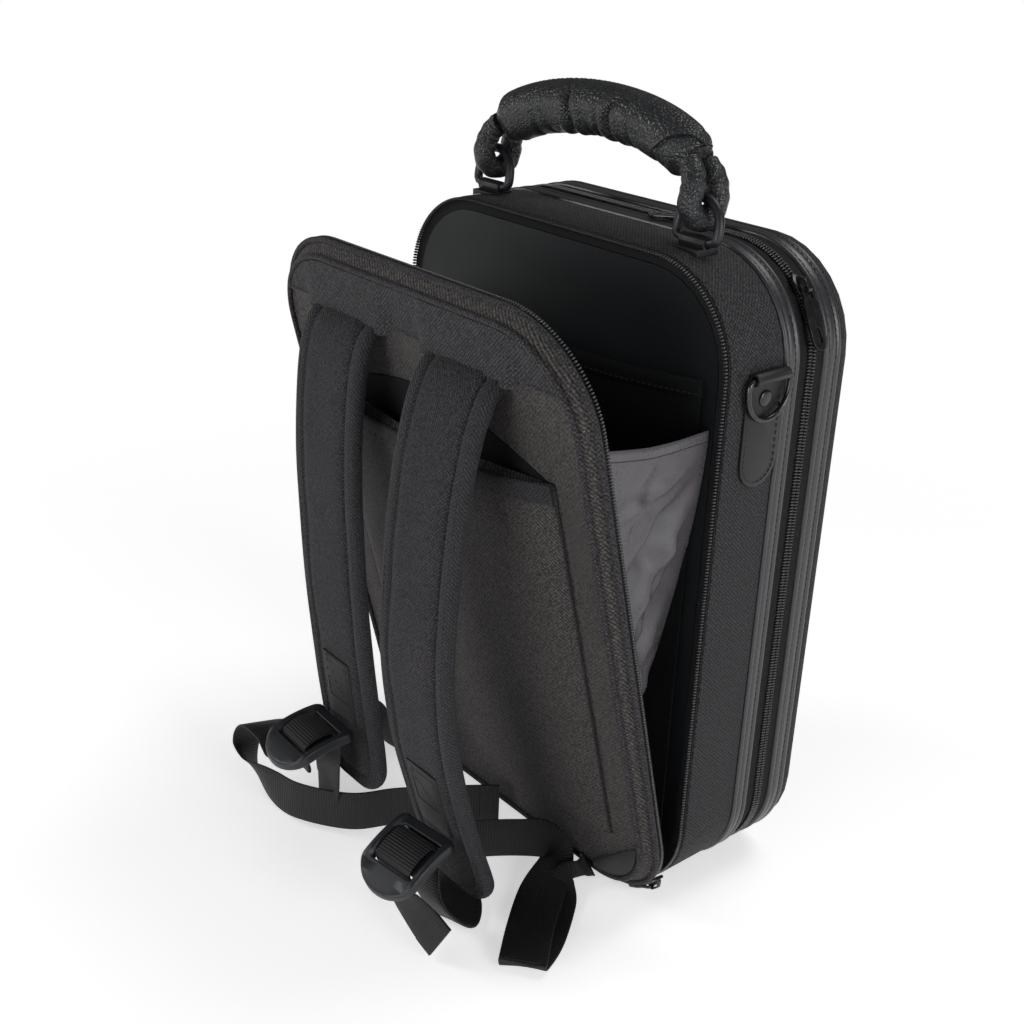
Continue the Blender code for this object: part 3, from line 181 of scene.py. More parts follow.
def makeSurfaceWeave():
    # Threads on a flat side, in the plane that the side faces
    group, start, end = startGroup("surfaceWeave", {"Pitch": 0.0006, "Slant": 0.0}, ["Height"])
    coords = addNode(group, "ShaderNodeTexCoord")
    wander = addNoise(group, coords, 260.0, 1.0)
    bent = addNode(group, "ShaderNodeVectorMath", {0: wander.outputs[1], 1: (0.0007, 0.0007, 0.0007),
                                                  2: coords.outputs["Object"]}, operation="MULTIPLY_ADD")
    place = addNode(group, "ShaderNodeSeparateXYZ", {0: bent.outputs[0]})
    facing = addNode(group, "ShaderNodeSeparateXYZ", {0: coords.outputs["Normal"]})
    nx, ny, nz = (calc(group, "ABSOLUTE", facing.outputs[i]) for i in range(3))
    facesX = beatsBoth(group, nx, ny, nz)
    facesZ = beatsBoth(group, nz, nx, ny)
    x, y, z = (place.outputs[i] for i in range(3))
    across = calc(group, "MULTIPLY_ADD", calc(group, "SUBTRACT", y, x), facesX, x)
    along = calc(group, "MULTIPLY_ADD", calc(group, "SUBTRACT", y, z), facesZ, z)
    rate = calc(group, "DIVIDE", 2 * math.pi, start.outputs["Pitch"])
    warp = calc(group, "SINE", calc(group, "MULTIPLY", across, rate))
    weft = calc(group, "SINE", calc(group, "MULTIPLY", along, rate))
    plain = calc(group, "MULTIPLY", warp, weft)
    both = calc(group, "ADD", across, along)
    twill = calc(group, "SINE", calc(group, "MULTIPLY", both, rate))
    mixed = addNode(group, "ShaderNodeMix", {0: start.outputs["Slant"], 2: plain, 3: twill})
    group.links.new(calc(group, "MULTIPLY_ADD", mixed.outputs[0], 0.5, 0.5), end.inputs["Height"])
    return group


def makeRouteWeave():
    # Ribs or chevrons on a strip, by its own map: along it and across it in metres
    names = {"Pitch": 0.001, "Chevron": 0.0, "Width": 0.008}
    group, start, end = startGroup("routeWeave", names, ["Height", "Across"])
    route = addNode(group, "ShaderNodeUVMap", uv_map="route")
    place = addNode(group, "ShaderNodeSeparateXYZ", {0: route.outputs[0]})
    across = calc(group, "PINGPONG", place.outputs[1], start.outputs["Width"])
    slanted = calc(group, "MULTIPLY_ADD", across, start.outputs["Chevron"], place.outputs[0])
    rate = calc(group, "DIVIDE", 2 * math.pi, start.outputs["Pitch"])
    rib = calc(group, "SINE", calc(group, "MULTIPLY", slanted, rate))
    fine = calc(group, "SINE", calc(group, "MULTIPLY", place.outputs[1], calc(group, "MULTIPLY", rate, 1.4)))
    mixed = calc(group, "MULTIPLY_ADD", fine, 0.35, rib)
    group.links.new(calc(group, "MULTIPLY_ADD", mixed, 0.37, 0.5), end.inputs["Height"])
    group.links.new(place.outputs[1], end.inputs["Across"])
    return group


def makeCloud():
    # Slow changes of tone, small pale specks of lint, and the grit of single threads
    group, start, end = startGroup("cloud", {"Size": 0.03, "Lint": 0.0}, ["Tone", "Speck", "Grit"])
    coords = addNode(group, "ShaderNodeTexCoord")
    scale = calc(group, "DIVIDE", 1.0, start.outputs["Size"])
    wide = addNoise(group, coords, scale, 4.0)
    fine = addNoise(group, coords, 700.0, 1.0)
    tone = calc(group, "MULTIPLY_ADD", fine.outputs[0], 0.35, calc(group, "MULTIPLY", wide.outputs[0], 0.65))
    dots = addNode(group, "ShaderNodeTexVoronoi", {"Vector": coords.outputs["Object"], "Scale": 130.0})
    near = calc(group, "LESS_THAN", dots.outputs["Distance"], 0.045)
    rare = addNode(group, "ShaderNodeSeparateColor", {0: dots.outputs["Color"]})
    chosen = calc(group, "GREATER_THAN", rare.outputs[0], 0.86)
    speck = calc(group, "MULTIPLY", calc(group, "MULTIPLY", near, chosen), start.outputs["Lint"])
    threads = addNoise(group, coords, 950.0, 0.0)
    reach = {"Value": threads.outputs[0], "From Min": 0.30, "From Max": 0.70}
    grit = addNode(group, "ShaderNodeMapRange", reach)
    group.links.new(grit.outputs[0], end.inputs["Grit"])
    group.links.new(tone, end.inputs["Tone"])
    group.links.new(speck, end.inputs["Speck"])
    return group


def makePebbles():
    # Rounded grains with creases between them
    group, start, end = startGroup("pebbles", {"Grain": 0.0015, "Stretch": 1.0}, ["Height"])
    coords = addNode(group, "ShaderNodeTexCoord")
    scale = calc(group, "DIVIDE", 1.0, start.outputs["Grain"])
    wobble = addNoise(group, coords, 160.0)
    shift = addNode(group, "ShaderNodeVectorMath", {0: wobble.outputs[1], 1: (0.0016, 0.0016, 0.0016)},
                    operation="MULTIPLY")
    moved = addNode(group, "ShaderNodeVectorMath", {0: coords.outputs["Object"], 1: shift.outputs[0]})
    grains = addNode(group, "ShaderNodeTexVoronoi", {"Vector": moved.outputs[0], "Scale": scale},
                     feature="DISTANCE_TO_EDGE")
    domed = calc(group, "POWER", calc(group, "MULTIPLY", grains.outputs[0], 1.9), 0.55)
    group.links.new(calc(group, "MINIMUM", domed, 1.0), end.inputs["Height"])
    return group


weaveGroup = makeSurfaceWeave()
routeGroup = makeRouteWeave()
cloudGroup = makeCloud()
pebbleGroup = makePebbles()


def placeGroup(tree, group, **values):
    node = addNode(tree, "ShaderNodeGroup", node_tree=group)
    for key, value in values.items():
        node.inputs[key].default_value = value
    return node


# The first entry is the least share of its colour that the painted shade in creases leaves
cloth = {"darkestCreaseShade": 0.10, "lintTone": 0.16, "sheenRoughness": 0.4, "coatRoughness": 0.12}


def makeFinish(name, colour, roughness, pattern=None, depth=0.0001, metallic=0.0, tone=0.35, cloud=0.03,
               lint=0.0, sheen=0.0, coat=0.0, roughSpread=0.08, crease=0.45, gloss=0.5, grit=0.0):
    # One Principled surface whose colour, roughness and relief follow its pattern group; its colour is also
    # darkened where the pattern lies low, painted shade in the creases between threads and grains
    material = bpy.data.materials.new(name)
    material.use_nodes = True
    tree = material.node_tree
    shader = tree.nodes["Principled BSDF"]
    shader.inputs["Metallic"].default_value = metallic
    shader.inputs["Specular IOR Level"].default_value = gloss
    shader.inputs["Sheen Weight"].default_value = sheen
    shader.inputs["Sheen Roughness"].default_value = cloth["sheenRoughness"]
    shader.inputs["Coat Weight"].default_value = coat
    shader.inputs["Coat Roughness"].default_value = cloth["coatRoughness"]
    clouds = placeGroup(tree, cloudGroup, Size=cloud, Lint=lint)
    height = pattern(tree) if pattern else clouds.outputs["Tone"]
    shade = calc(tree, "MULTIPLY_ADD", clouds.outputs["Tone"], 2 * tone, 1 - tone)
    # Painted shade: where the pattern lies low the colour is darkened by the crease share, down to the
    # darkest share in the cloth table
    deep = calc(tree, "MULTIPLY_ADD", height, crease, 1 - crease * 0.5)
    shade = calc(tree, "MULTIPLY", shade, calc(tree, "MAXIMUM", deep, cloth["darkestCreaseShade"]))
    threads = calc(tree, "MULTIPLY_ADD", clouds.outputs["Grit"], grit, 1 - grit * 0.5)
    shade = calc(tree, "MULTIPLY", shade, threads)
    speck = calc(tree, "MULTIPLY", clouds.outputs["Speck"], cloth["lintTone"])
    parts = [calc(tree, "MULTIPLY_ADD", shade, value, speck) for value in colour]
    mixed = addNode(tree, "ShaderNodeCombineColor", {0: parts[0], 1: parts[1], 2: parts[2]})
    tree.links.new(mixed.outputs[0], shader.inputs["Base Color"])
    rough = calc(tree, "MULTIPLY_ADD", clouds.outputs["Tone"], roughSpread * 2, roughness - roughSpread)
    tree.links.new(rough, shader.inputs["Roughness"])
    bump = addNode(tree, "ShaderNodeBump", {"Height": height, "Distance": depth, "Strength": 1.0})
    tree.links.new(bump.outputs[0], shader.inputs["Normal"])
    material.diffuse_color = (*colour, 1.0)
    return material


def weave(pitch, slant=0.0):
    return lambda tree: placeGroup(tree, weaveGroup, Pitch=pitch, Slant=slant).outputs["Height"]


def route(pitch, chevron=0.0, width=0.008):
    values = {"Pitch": pitch, "Chevron": chevron, "Width": width}
    return lambda tree: placeGroup(tree, routeGroup, **values).outputs["Height"]


def pebble(grain):
    return lambda tree: placeGroup(tree, pebbleGroup, Grain=grain).outputs["Height"]


clothBlack = makeFinish("clothBlack", (0.031, 0.029, 0.032), 0.80, weave(0.0021), 0.00030,
                        tone=0.25, lint=1.0, sheen=0.04, crease=1.7, gloss=0.3, grit=1.1)
clothTwill = makeFinish("clothTwill", (0.052, 0.047, 0.046), 0.78, weave(0.0022, 0.55), 0.00032,
                        tone=0.25, lint=1.0, sheen=0.04, crease=1.8, gloss=0.3, grit=1.1)
clothStrap = makeFinish("clothStrap", (0.027, 0.025, 0.028), 0.82, weave(0.0018), 0.00026,
                        lint=1.0, sheen=0.04, crease=1.6, gloss=0.25, grit=1.0)
# The dark inside cloth; it also makes the dark sheet that is painted shade in and above the stow pocket's
# mouth
clothInsideAndShade = makeFinish("clothInsideAndShade", (0.008, 0.009, 0.009), 0.80, weave(0.0014), 0.00012,
                         crease=0.6, gloss=0.15, grit=0.5)
bindingTape = makeFinish("bindingTape", (0.020, 0.020, 0.023), 0.74, route(0.0021, 1.0, 0.0044), 0.00032,
                         crease=1.4, sheen=0.05, gloss=0.3, grit=0.8)
webTape = makeFinish("webTape", (0.008, 0.008, 0.009), 0.60, route(0.0016), 0.00026,
                     crease=1.2, sheen=0.03, gloss=0.35, grit=0.6)
zipTape = makeFinish("zipTape", (0.013, 0.013, 0.014), 0.78, route(0.0012, 0.6, 0.0014), 0.00012,
                     crease=0.9, gloss=0.2, grit=0.6)
vinylBand = makeFinish("vinylBand", (0.036, 0.036, 0.040), 0.30, pebble(0.0010), 0.00005,
                       tone=0.2, cloud=0.02, crease=0.3, gloss=0.6)
vinylPatch = makeFinish("vinylPatch", (0.010, 0.010, 0.011), 0.44, pebble(0.0009), 0.00005,
                        tone=0.2, cloud=0.01, crease=0.25, gloss=0.35)
coilBlack = makeFinish("coilBlack", (0.034, 0.034, 0.038), 0.24, None, 0.00002, tone=0.15, gloss=0.7)
metalBlack = makeFinish("metalBlack", (0.060, 0.060, 0.063), 0.26, None, 0.00002,
                        metallic=0.9, cloud=0.004, roughSpread=0.10)
glossBlack = makeFinish("glossBlack", (0.011, 0.012, 0.016), 0.44, None, 0.00002,
                        tone=0.12, coat=0.05, roughSpread=0.04, gloss=0.45)
leatherBlack = makeFinish("leatherBlack", (0.019, 0.020, 0.022), 0.38, pebble(0.0021), 0.00034,
                          tone=0.15, cloud=0.012, crease=1.3)
plushBlack = makeFinish("plushBlack", (0.020, 0.020, 0.026), 0.93, None, 0.0006,
                        cloud=0.006, sheen=0.3, gloss=0.2)
liningBlack = makeFinish("liningBlack", (0.006, 0.008, 0.010), 0.50, weave(0.0006), 0.00003,
                         tone=0.2, crease=0.3, gloss=0.3)
taffetaGrey = makeFinish("taffetaGrey", (0.092, 0.086, 0.095), 0.28, weave(0.0006), 0.00005,
                         tone=0.15, cloud=0.02, sheen=0.06, crease=0.3, grit=0.15)
threadBlack = makeFinish("threadBlack", (0.016, 0.016, 0.017), 0.55, None, 0.00002, tone=0.2)
print("finishes made")


floorLook = {"white": 0.93, "glow": 0.52, "fadeFrom": 0.30, "fadeTo": 0.75, "size": 60.0}
sky = {"seen": 0.90, "around": 0.10}  # what the camera sees is brighter than what lights the case


def makeStage():
    # A white floor that keeps the shadow, and a white surround for what the camera and gloss see
    floorFinish = bpy.data.materials.new("floorWhite")
    floorFinish.use_nodes = True
    tree = floorFinish.node_tree
    shader = tree.nodes["Principled BSDF"]
    shader.inputs["Base Color"].default_value = (*[floorLook["white"]] * 3, 1.0)
    shader.inputs["Roughness"].default_value = 0.9
    shader.inputs["Specular IOR Level"].default_value = 0.1
    shader.inputs["Emission Color"].default_value = (1.0, 1.0, 1.0, 1.0)
    rays = addNode(tree, "ShaderNodeLightPath")
    seen = calc(tree, "MAXIMUM", rays.outputs["Is Camera Ray"], rays.outputs["Is Glossy Ray"])
    tree.links.new(calc(tree, "MULTIPLY", seen, floorLook["glow"]), shader.inputs["Emission Strength"])
    coords = addNode(tree, "ShaderNodeTexCoord")
    reach = addNode(tree, "ShaderNodeVectorMath", {0: coords.outputs["Object"]}, operation="LENGTH")
    span = {"Value": reach.outputs["Value"], "From Min": floorLook["fadeFrom"],
            "From Max": floorLook["fadeTo"]}
    fade = addNode(tree, "ShaderNodeMapRange", span, interpolation_type="SMOOTHSTEP")
    white = addNode(tree, "ShaderNodeEmission", {"Strength": seen})
    blend = addNode(tree, "ShaderNodeMixShader", {0: calc(tree, "MULTIPLY", fade.outputs[0], seen),
                                                 1: shader.outputs[0], 2: white.outputs[0]})
    tree.links.new(blend.outputs[0], tree.nodes["Material Output"].inputs[0])
    bpy.ops.mesh.primitive_grid_add(x_subdivisions=4, y_subdivisions=4, size=floorLook["size"])
    floor = bpy.context.object
    floor.name = "floor"
    floor.data.materials.append(floorFinish)
    world = bpy.data.worlds.new("studio")
    world.use_nodes = True
    bpy.context.scene.world = world
    tree = world.node_tree
    back = tree.nodes["Background"]
    back.inputs["Color"].default_value = (1.0, 1.0, 1.0, 1.0)
    rays = addNode(tree, "ShaderNodeLightPath")
    strength = calc(tree, "MULTIPLY_ADD", rays.outputs["Is Camera Ray"], sky["seen"], sky["around"])
    tree.links.new(strength, back.inputs["Strength"])
    bpy.context.scene.view_settings.view_transform = "Standard"


# Modelling helpers

def deselectAll():
    if bpy.context.mode != "OBJECT":
        bpy.ops.object.mode_set(mode="OBJECT")
    bpy.ops.object.select_all(action="DESELECT")


def pickUp(thing):
    deselectAll()
    thing.select_set(True)
    bpy.context.view_layer.objects.active = thing
    return thing


def addObject(name, mesh):
    thing = bpy.data.objects.new(name, mesh)
    bpy.context.scene.collection.objects.link(thing)
    return pickUp(thing)


def modify(thing, kind, **settings):
    pickUp(thing)
    step = thing.modifiers.new(kind.lower(), kind)
    for key, value in settings.items():
        setattr(step, key, value)
    bpy.ops.object.modifier_apply(modifier=step.name)
    return thing


def takeCopy(node, name):
    # A CAD node's shape as a welded mesh with whole flat faces
    mesh = frame["nodes"][node].data.copy()
    mesh.name = name
    piece = addObject(name, mesh)
    bpy.ops.object.mode_set(mode="EDIT")
    bpy.ops.mesh.select_all(action="SELECT")
    bpy.ops.mesh.remove_doubles(threshold=0.00001)
    bpy.ops.mesh.dissolve_limited(angle_limit=math.radians(0.4))
    bpy.ops.object.mode_set(mode="OBJECT")
    if mesh.has_custom_normals:
        bpy.ops.mesh.customdata_custom_splitnormals_clear()
    return piece


def smoothBy(thing, angle=35.0):
    pickUp(thing)
    bpy.ops.object.shade_smooth_by_angle(angle=math.radians(angle))
    return thing


def softEdges(thing, width, segments=2, angle=30.0):
    return modify(thing, "BEVEL", width=width, segments=segments, limit_method="ANGLE",
                  angle_limit=math.radians(angle), use_clamp_overlap=True, harden_normals=False)


def sliceAt(thing, direction, places, origin=Vector()):
    # Cuts straight across the mesh at each place along a direction
    pickUp(thing)
    bpy.ops.object.mode_set(mode="EDIT")
    for place in places:
        bpy.ops.mesh.select_all(action="SELECT")
        bpy.ops.mesh.bisect(plane_co=origin + direction * place, plane_no=direction)
    bpy.ops.object.mode_set(mode="OBJECT")
    return thing


def spread(first, last, step):
    # Even steps from the first value to the last, as near to the wanted step as they come
    count = max(1, round(abs(last - first) / step))
    return [first + (last - first) * index / count for index in range(count + 1)]


def finish(piece, material, body, slotName, *nodes):
    piece.data.materials.clear()
    piece.data.materials.append(material)
    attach(piece, body)
    if nodes:
        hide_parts(*nodes)
    return piece


def dressSolid(node, name, body, material, slotName, edge=None, smooth=45):
    # A CAD solid as it is, with its edges softened: by how much, in how many parts, past which angle
    piece = takeCopy(node, name)
    if edge:
        softEdges(piece, *edge)
    smoothBy(piece, smooth)
    return finish(piece, material, body, slotName, node)


def dressRound(node, name, body, material, slotName, fatter=0.0):
    # A CAD solid with round sections, made smooth
    piece = takeCopy(node, name)
    modify(piece, "SUBSURF", levels=1, render_levels=1)
    if fatter:
        bpy.ops.object.mode_set(mode="EDIT")
        bpy.ops.mesh.select_all(action="SELECT")
        bpy.ops.transform.shrink_fatten(value=fatter)
        bpy.ops.object.mode_set(mode="OBJECT")
    smoothBy(piece, 60)
    return finish(piece, material, body, slotName, node)


def loftPiece(name, rows, closedAlong=False, ring=True):
    # Joins rows of points with faces, and maps them in metres as the route: along and across
    work = bmesh.new()
    layer = work.loops.layers.uv.new("route")
    grid = [[work.verts.new(point) for point in row] for row in rows]
    count = len(rows[0])
    along = [0.0]
    for before, after in zip(rows, rows[1:] + rows[:1]):
        along.append(along[-1] + sum((a - b).length for a, b in zip(before, after)) / count)
    around = [0.0]
    for index in range(count):
        middle = rows[len(rows) // 2]
        around.append(around[-1] + (middle[(index + 1) % count] - middle[index]).length)
    lastRow = len(rows) if closedAlong else len(rows) - 1
    lastPoint = count if ring else count - 1
    for i in range(lastRow):
        j = (i + 1) % len(rows)
        for k in range(lastPoint):
            m = (k + 1) % count
            face = work.faces.new((grid[i][k], grid[i][m], grid[j][m], grid[j][k]))
            face.smooth = True
            spots = ((along[i], around[k]), (along[i], around[k + 1]), (along[i + 1], around[k + 1]),
                     (along[i + 1], around[k]))
            for loop, spot in zip(face.loops, spots):
                loop[layer].uv = spot
    if ring and not closedAlong:
        for row in (grid[0], grid[-1]):
            middle = sum((v.co for v in row), Vector()) / count
            centre = work.verts.new(middle)
            for k in range(count):
                work.faces.new((row[k], row[(k + 1) % count], centre))
    bmesh.ops.recalc_face_normals(work, faces=work.faces)
    mesh = bpy.data.meshes.new(name)
    work.to_mesh(mesh)
    work.free()
    return addObject(name, mesh)


def curveThrough(points, count):
    # A smooth run through the points, read at even shares
    spans = len(points) - 1
    result = []
    for index in range(count + 1):
        place = index / count * spans
        span = min(int(place), spans - 1)
        share = place - span
        before = points[max(span - 1, 0)]
        start = points[span]
        stop = points[span + 1]
        after = points[min(span + 2, spans)]
        result.append(0.5 * (2 * start + (stop - before) * share
                             + (2 * before - 5 * start + 4 * stop - after) * share ** 2
                             + (3 * start - before - 3 * stop + after) * share ** 3))
    return result


def ringsOf(node):
    # A long solid's cross-sections in order, found by walking its mesh from a flat end
    work = bmesh.new()
    work.from_mesh(frame["nodes"][node].data)
    bmesh.ops.remove_doubles(work, verts=work.verts, dist=0.00001)
    work.faces.ensure_lookup_table()
    seen = set()
    caps = []
    for first in work.faces:
        if first in seen:
            continue
        group = {first}
        edge = [first]
        while edge:
            face = edge.pop()
            for side in face.edges:
                for other in side.link_faces:
                    if other not in group and other.normal.angle(first.normal, 9.0) < 0.005:
                        group.add(other)
                        edge.append(other)
        seen |= group
        corners = {corner for face in group for corner in face.verts}
        if len(corners) == len(group) + 2 and len(work.verts) % len(corners) == 0:
            caps.append(corners)
    found = []
    for cap in sorted(caps, key=lambda corners: -len(corners)):
        rows = [cap]
        seen = set(cap)
        while True:
            ahead = {side.other_vert(point) for point in rows[-1] for side in point.link_edges} - seen
            if not ahead:
                break
            seen |= ahead
            rows.append(ahead)
        if all(len(row) == len(cap) for row in rows) and len(rows) > 3:
            found = [[point.co.copy() for point in row] for row in rows]
            break
    work.free()
    return found


def stripFrames(node, density=3):
    # The middle, the way across and the half width all along a strip
    rings = ringsOf(node)
    centres = [sum(ring, Vector()) / len(ring) for ring in rings]
    wides = []
    halves = []
    for ring, centre in zip(rings, centres):
        spans = [point - centre for point in ring]
        wide = wides[-1] if wides else max(spans, key=lambda span: span.length)
        for step in range(8):
            wide = sum((span * span.dot(wide) for span in spans), Vector()).normalized()
        wides.append(wide)
        halves.append(Vector((max(abs(span.dot(wide)) for span in spans), 0.0, 0.0)))
    count = density * (len(rings) - 1)
    across = [wide.normalized() for wide in curveThrough(wides, count)]
    return curveThrough(centres, count), across, [half.x for half in curveThrough(halves, count)]


def frameAt(centres, index):
    last = len(centres) - 1
    return (centres[min(index + 1, last)] - centres[max(index - 1, 0)]).normalized()


# Paths round the case, as points with the way out of the case at each

def arc(cx, cz, radius, first, last):
    run = []
    for step in range(case["steps"] + 1):
        angle = math.radians(first + (last - first) * step / case["steps"])
        way = Vector((math.cos(angle), 0.0, math.sin(angle)))
        run.append((Vector((cx, 0.0, cz)) + way * radius, way))
    return run


def outlinePath(inset, rise):
    # All the way round, drawn in from the sides, with its own height at the base
    radius = case["corner"] - inset
    lowRadius = min(radius, case["corner"] - rise)
    x = case["half"] - case["corner"]
    top = case["top"] - case["corner"]
    lowX = case["half"] - inset - lowRadius
    path = arc(x, top, radius, 0, 90) + arc(-x, top, radius, 90, 180)
    path += arc(-lowX, rise + lowRadius, lowRadius, 180, 270)
    return path + arc(lowX, rise + lowRadius, lowRadius, 270, 360)


def zipPath(inset, rise):
    # From the top of the hinge side over the top, the right side and the base, back to the hinge side
    radius = case["corner"] - inset
    lowRadius = case["corner"] - rise
    x = case["half"] - case["corner"]
    top = case["top"] - case["corner"]
    lowX = case["half"] - inset - lowRadius
    path = arc(-x, top, radius, 180, 90) + arc(x, top, radius, 90, 0)
    path += arc(lowX, rise + lowRadius, lowRadius, 0, -90)
    return path + arc(-lowX, rise + lowRadius, lowRadius, 270, 180)


def trackPath(inset):
    # From the lower right corner over the top to the lower left corner
    radius = case["corner"] - inset
    end = case["trackEnd"]
    x = case["half"] - case["corner"]
    top = case["top"] - case["corner"]
    path = arc(x, case["corner"], radius, -end, 0) + arc(x, top, radius, 0, 90)
    return path + arc(-x, top, radius, 90, 180) + arc(-x, case["corner"], radius, 180, 180 + end)


def walk(path, pitch, closed=False):
    # Evenly spaced places on a path: point, way along and way out
    line = path + path[:1] if closed else path
    gone = [0.0]
    for (before, _), (after, _) in zip(line, line[1:]):
        gone.append(gone[-1] + (after - before).length)
    count = max(2, int(gone[-1] / pitch))
    spots = []
    index = 0
    for step in range(count):
        target = gone[-1] * (step + 0.5) / count
        while gone[index + 1] < target:
            index += 1
        share = (target - gone[index]) / max(gone[index + 1] - gone[index], 1e-9)
        point = line[index][0].lerp(line[index + 1][0], share)
        way = line[index][1].lerp(line[index + 1][1], share).normalized()
        along = (line[index + 1][0] - line[index][0]).normalized()
        spots.append((point, (along - way * along.dot(way)).normalized(), way))
    return spots


def scatter(name, seed, places, tip=None):
    # One mesh that holds a copy of the seed at every place, all tipped with the flap where it is given
    if tip is not None:
        places = [tip @ place for place in places]
    points = [corner.co.copy() for corner in seed.data.vertices]
    faces = [tuple(face.vertices) for face in seed.data.polygons]
    coords = []
    polygons = []
    for place in places:
        start = len(coords)
        coords += [place @ point for point in points]
        polygons += [tuple(start + corner for corner in face) for face in faces]
    mesh = bpy.data.meshes.new(name)
    mesh.from_pydata(coords, [], polygons)
    mesh.shade_smooth()
    bpy.data.objects.remove(seed, do_unlink=True)
    return addObject(name, mesh)


def makeSeed(length, width, height, segments=6, rings=4):
    # A small rounded grain: long on X, wide on Y
    deselectAll()
    bpy.ops.mesh.primitive_uv_sphere_add(segments=segments, ring_count=rings, radius=0.5)
    seed = bpy.context.object
    bpy.ops.object.mode_set(mode="EDIT")
    bpy.ops.transform.rotate(value=math.radians(90), orient_axis="Y", center_override=(0.0, 0.0, 0.0))
    bpy.ops.transform.resize(value=(length, width, height))
    bpy.ops.object.mode_set(mode="OBJECT")
    return seed


def placeMatrix(point, along, out):
    # X along, Z out, at a point
    across = out.cross(along).normalized()
    turn = Matrix((along, across, out)).transposed().to_4x4()
    turn.translation = point
    return turn


stitch = {"pitch": 0.0034, "length": 0.0025, "width": 0.00065, "height": 0.00055}


def stitchRow(name, spots, body, lift=0.0, tip=None, slotName="webbing"):
    # Thread showing as short raised grains along evenly spaced places
    seed = makeSeed(stitch["length"], stitch["width"], stitch["height"])
    places = [placeMatrix(point + out * lift, along, out) for point, along, out in spots]
    return finish(scatter(name, seed, places, tip), threadBlack, body, slotName)


def lineSpots(points, out):
    # Places for stitches along straight lines between points on one side
    spots = []
    for before, after in zip(points, points[1:]):
        way = (after - before).normalized()
        count = max(1, int((after - before).length / stitch["pitch"]))
        for step in range(count):
            spots.append((before.lerp(after, (step + 0.5) / count), way, out))
    return spots


# Bands, tapes and teeth







# How far across and how far out of the band each point of its section lies, as shares
bandShape = ((0.0, -0.4), (0.03, 0.62), (0.08, 0.95), (0.15, 1.0), (0.21, 0.85), (0.26, 0.30), (0.31, 0.28),
             (0.37, 0.66), (0.50, 0.78), (0.63, 0.66), (0.69, 0.28), (0.74, 0.30), (0.79, 0.85), (0.85, 1.0),
             (0.92, 0.95), (0.97, 0.62), (1.0, -0.4))
band = {"thick": 0.0019, "proud": 0.0011, "base": 0.0006, "threadOut": 0.38,
        "channels": {"front": 0.285, "back": 0.715}}


def makeBand(node, name, body):
    # A vinyl strip with rolled edges and a low crown between two stitched channels
    front = low(node).y
    wide = high(node).y - front
    profile = [(front, -band["thick"])]
    profile += [(front + wide * share, band["proud"] * rise) for share, rise in bandShape]
    profile.append((front + wide, -band["thick"]))
    path = zipPath(0.0, band["base"])
    rows = [[Vector((point.x, 0.0, point.z)) + way * out + Vector((0.0, y, 0.0)) for y, out in profile]
            for point, way in path]
    piece = loftPiece(name, rows)
    smoothBy(piece, 50)
    finish(piece, vinylBand, body, "grained_vinyl", node)
    for key, share in band["channels"].items():
        spots = [(point + Vector((0.0, front + wide * share, 0.0)), along, out)
                 for point, along, out in walk(path, stitch["pitch"])]
        stitchRow(name + "_stitch_" + key, spots, body, band["proud"] * band["threadOut"],
                  slotName="grained_vinyl")


tapeReach = 0.15  # metres of map for each radian round the case


def mapByOutline(piece):
    # Along the case's outline and across it, for a tape's weave
    mesh = piece.data
    layer = mesh.uv_layers.new(name="route")
    middle = case["top"] / 2
    for loop in mesh.loops:
        spot = mesh.vertices[loop.vertex_index].co
        turn = math.atan2(spot.z - middle, spot.x)
        layer.data[loop.index].uv = (turn * tapeReach, spot.y + math.hypot(spot.x, spot.z - middle))


def makeTape(node, name, body):
    mapByOutline(dressSolid(node, name, body, zipTape, "zip_tape", smooth=40))


teeth = {"pitch": 0.00165, "width": 0.00110, "height": 0.0023, "length": 0.0033, "rise": 0.0019}
pocketTeeth = {"length": 0.0026, "inset": 0.0012, "closed": -0.0316}


def makeTeeth(node, name, body, path, y, length, tip=None, shift=0.0):
    seed = makeSeed(length, teeth["width"], teeth["height"], 6, 5)
    places = [placeMatrix(point + Vector((0.0, y, 0.0)) + along * shift, backWay, out)
              for point, along, out in walk(path, teeth["pitch"])]
    finish(scatter(name, seed, places, tip), coilBlack, body, "coil_plastic", node)


def middleY(node):
    return (low(node).y + high(node).y) / 2


def makeMainZip():
    # The lid's teeth sit half a pitch on, so that they mesh with the case's
    path = zipPath(0.0, teeth["rise"])
    for half, body, share in (("body", "case", 0.0), ("lid", "lid", 0.5)):
        node = half + "_zip_coil"
        makeTeeth(node, node + "_teeth", body, path, middleY(node), teeth["length"],
                  shift=share * teeth["pitch"])
    makeTape("body_zip_tape", "body_tape_cloth", "case")
    makeTape("lid_zip_tape", "lid_tape_cloth", "lid")


def makePocketZip():
    path = trackPath(pocketTeeth["inset"])
    for half, body, y, tip in (("body", "case", middleY("pocket_coil_body"), None),
                               ("flap", "flap", pocketTeeth["closed"], tipFlap)):
        makeTeeth("pocket_coil_" + half, "pocket_teeth_" + half, body, path, y, pocketTeeth["length"], tip)
    makeTape("pocket_tape_body", "pocket_tape_cloth_body", "case")
    makeTape("pocket_tape_flap", "pocket_tape_cloth_flap", "flap")


# Linings

def makeInsert():
    pieces = [("foam_insert_" + key, "foam_cushion_" + key, "case")
              for key in ("left", "middle", "bell", "small")]
    for node, name, body in pieces + [("lid_pad", "lid_cushion", "lid")]:
        piece = dressSolid(node, name, body, plushBlack, "plush_lining", (0.0022, 3, 40), 60)


def makePocketLining():
    dressSolid("pocket_lining", "pocket_lining_cloth", "case", liningBlack, "smooth_lining", smooth=40)


document = {"half": 0.1045, "bulge": 0.0050, "dip": 0.0060, "hem": 0.0085, "thick": 0.0009, "columns": 30,
            "step": 0.010, "ripple": 0.0007, "corner": 0.10, "draw": 0.144, "face": 0.0013}


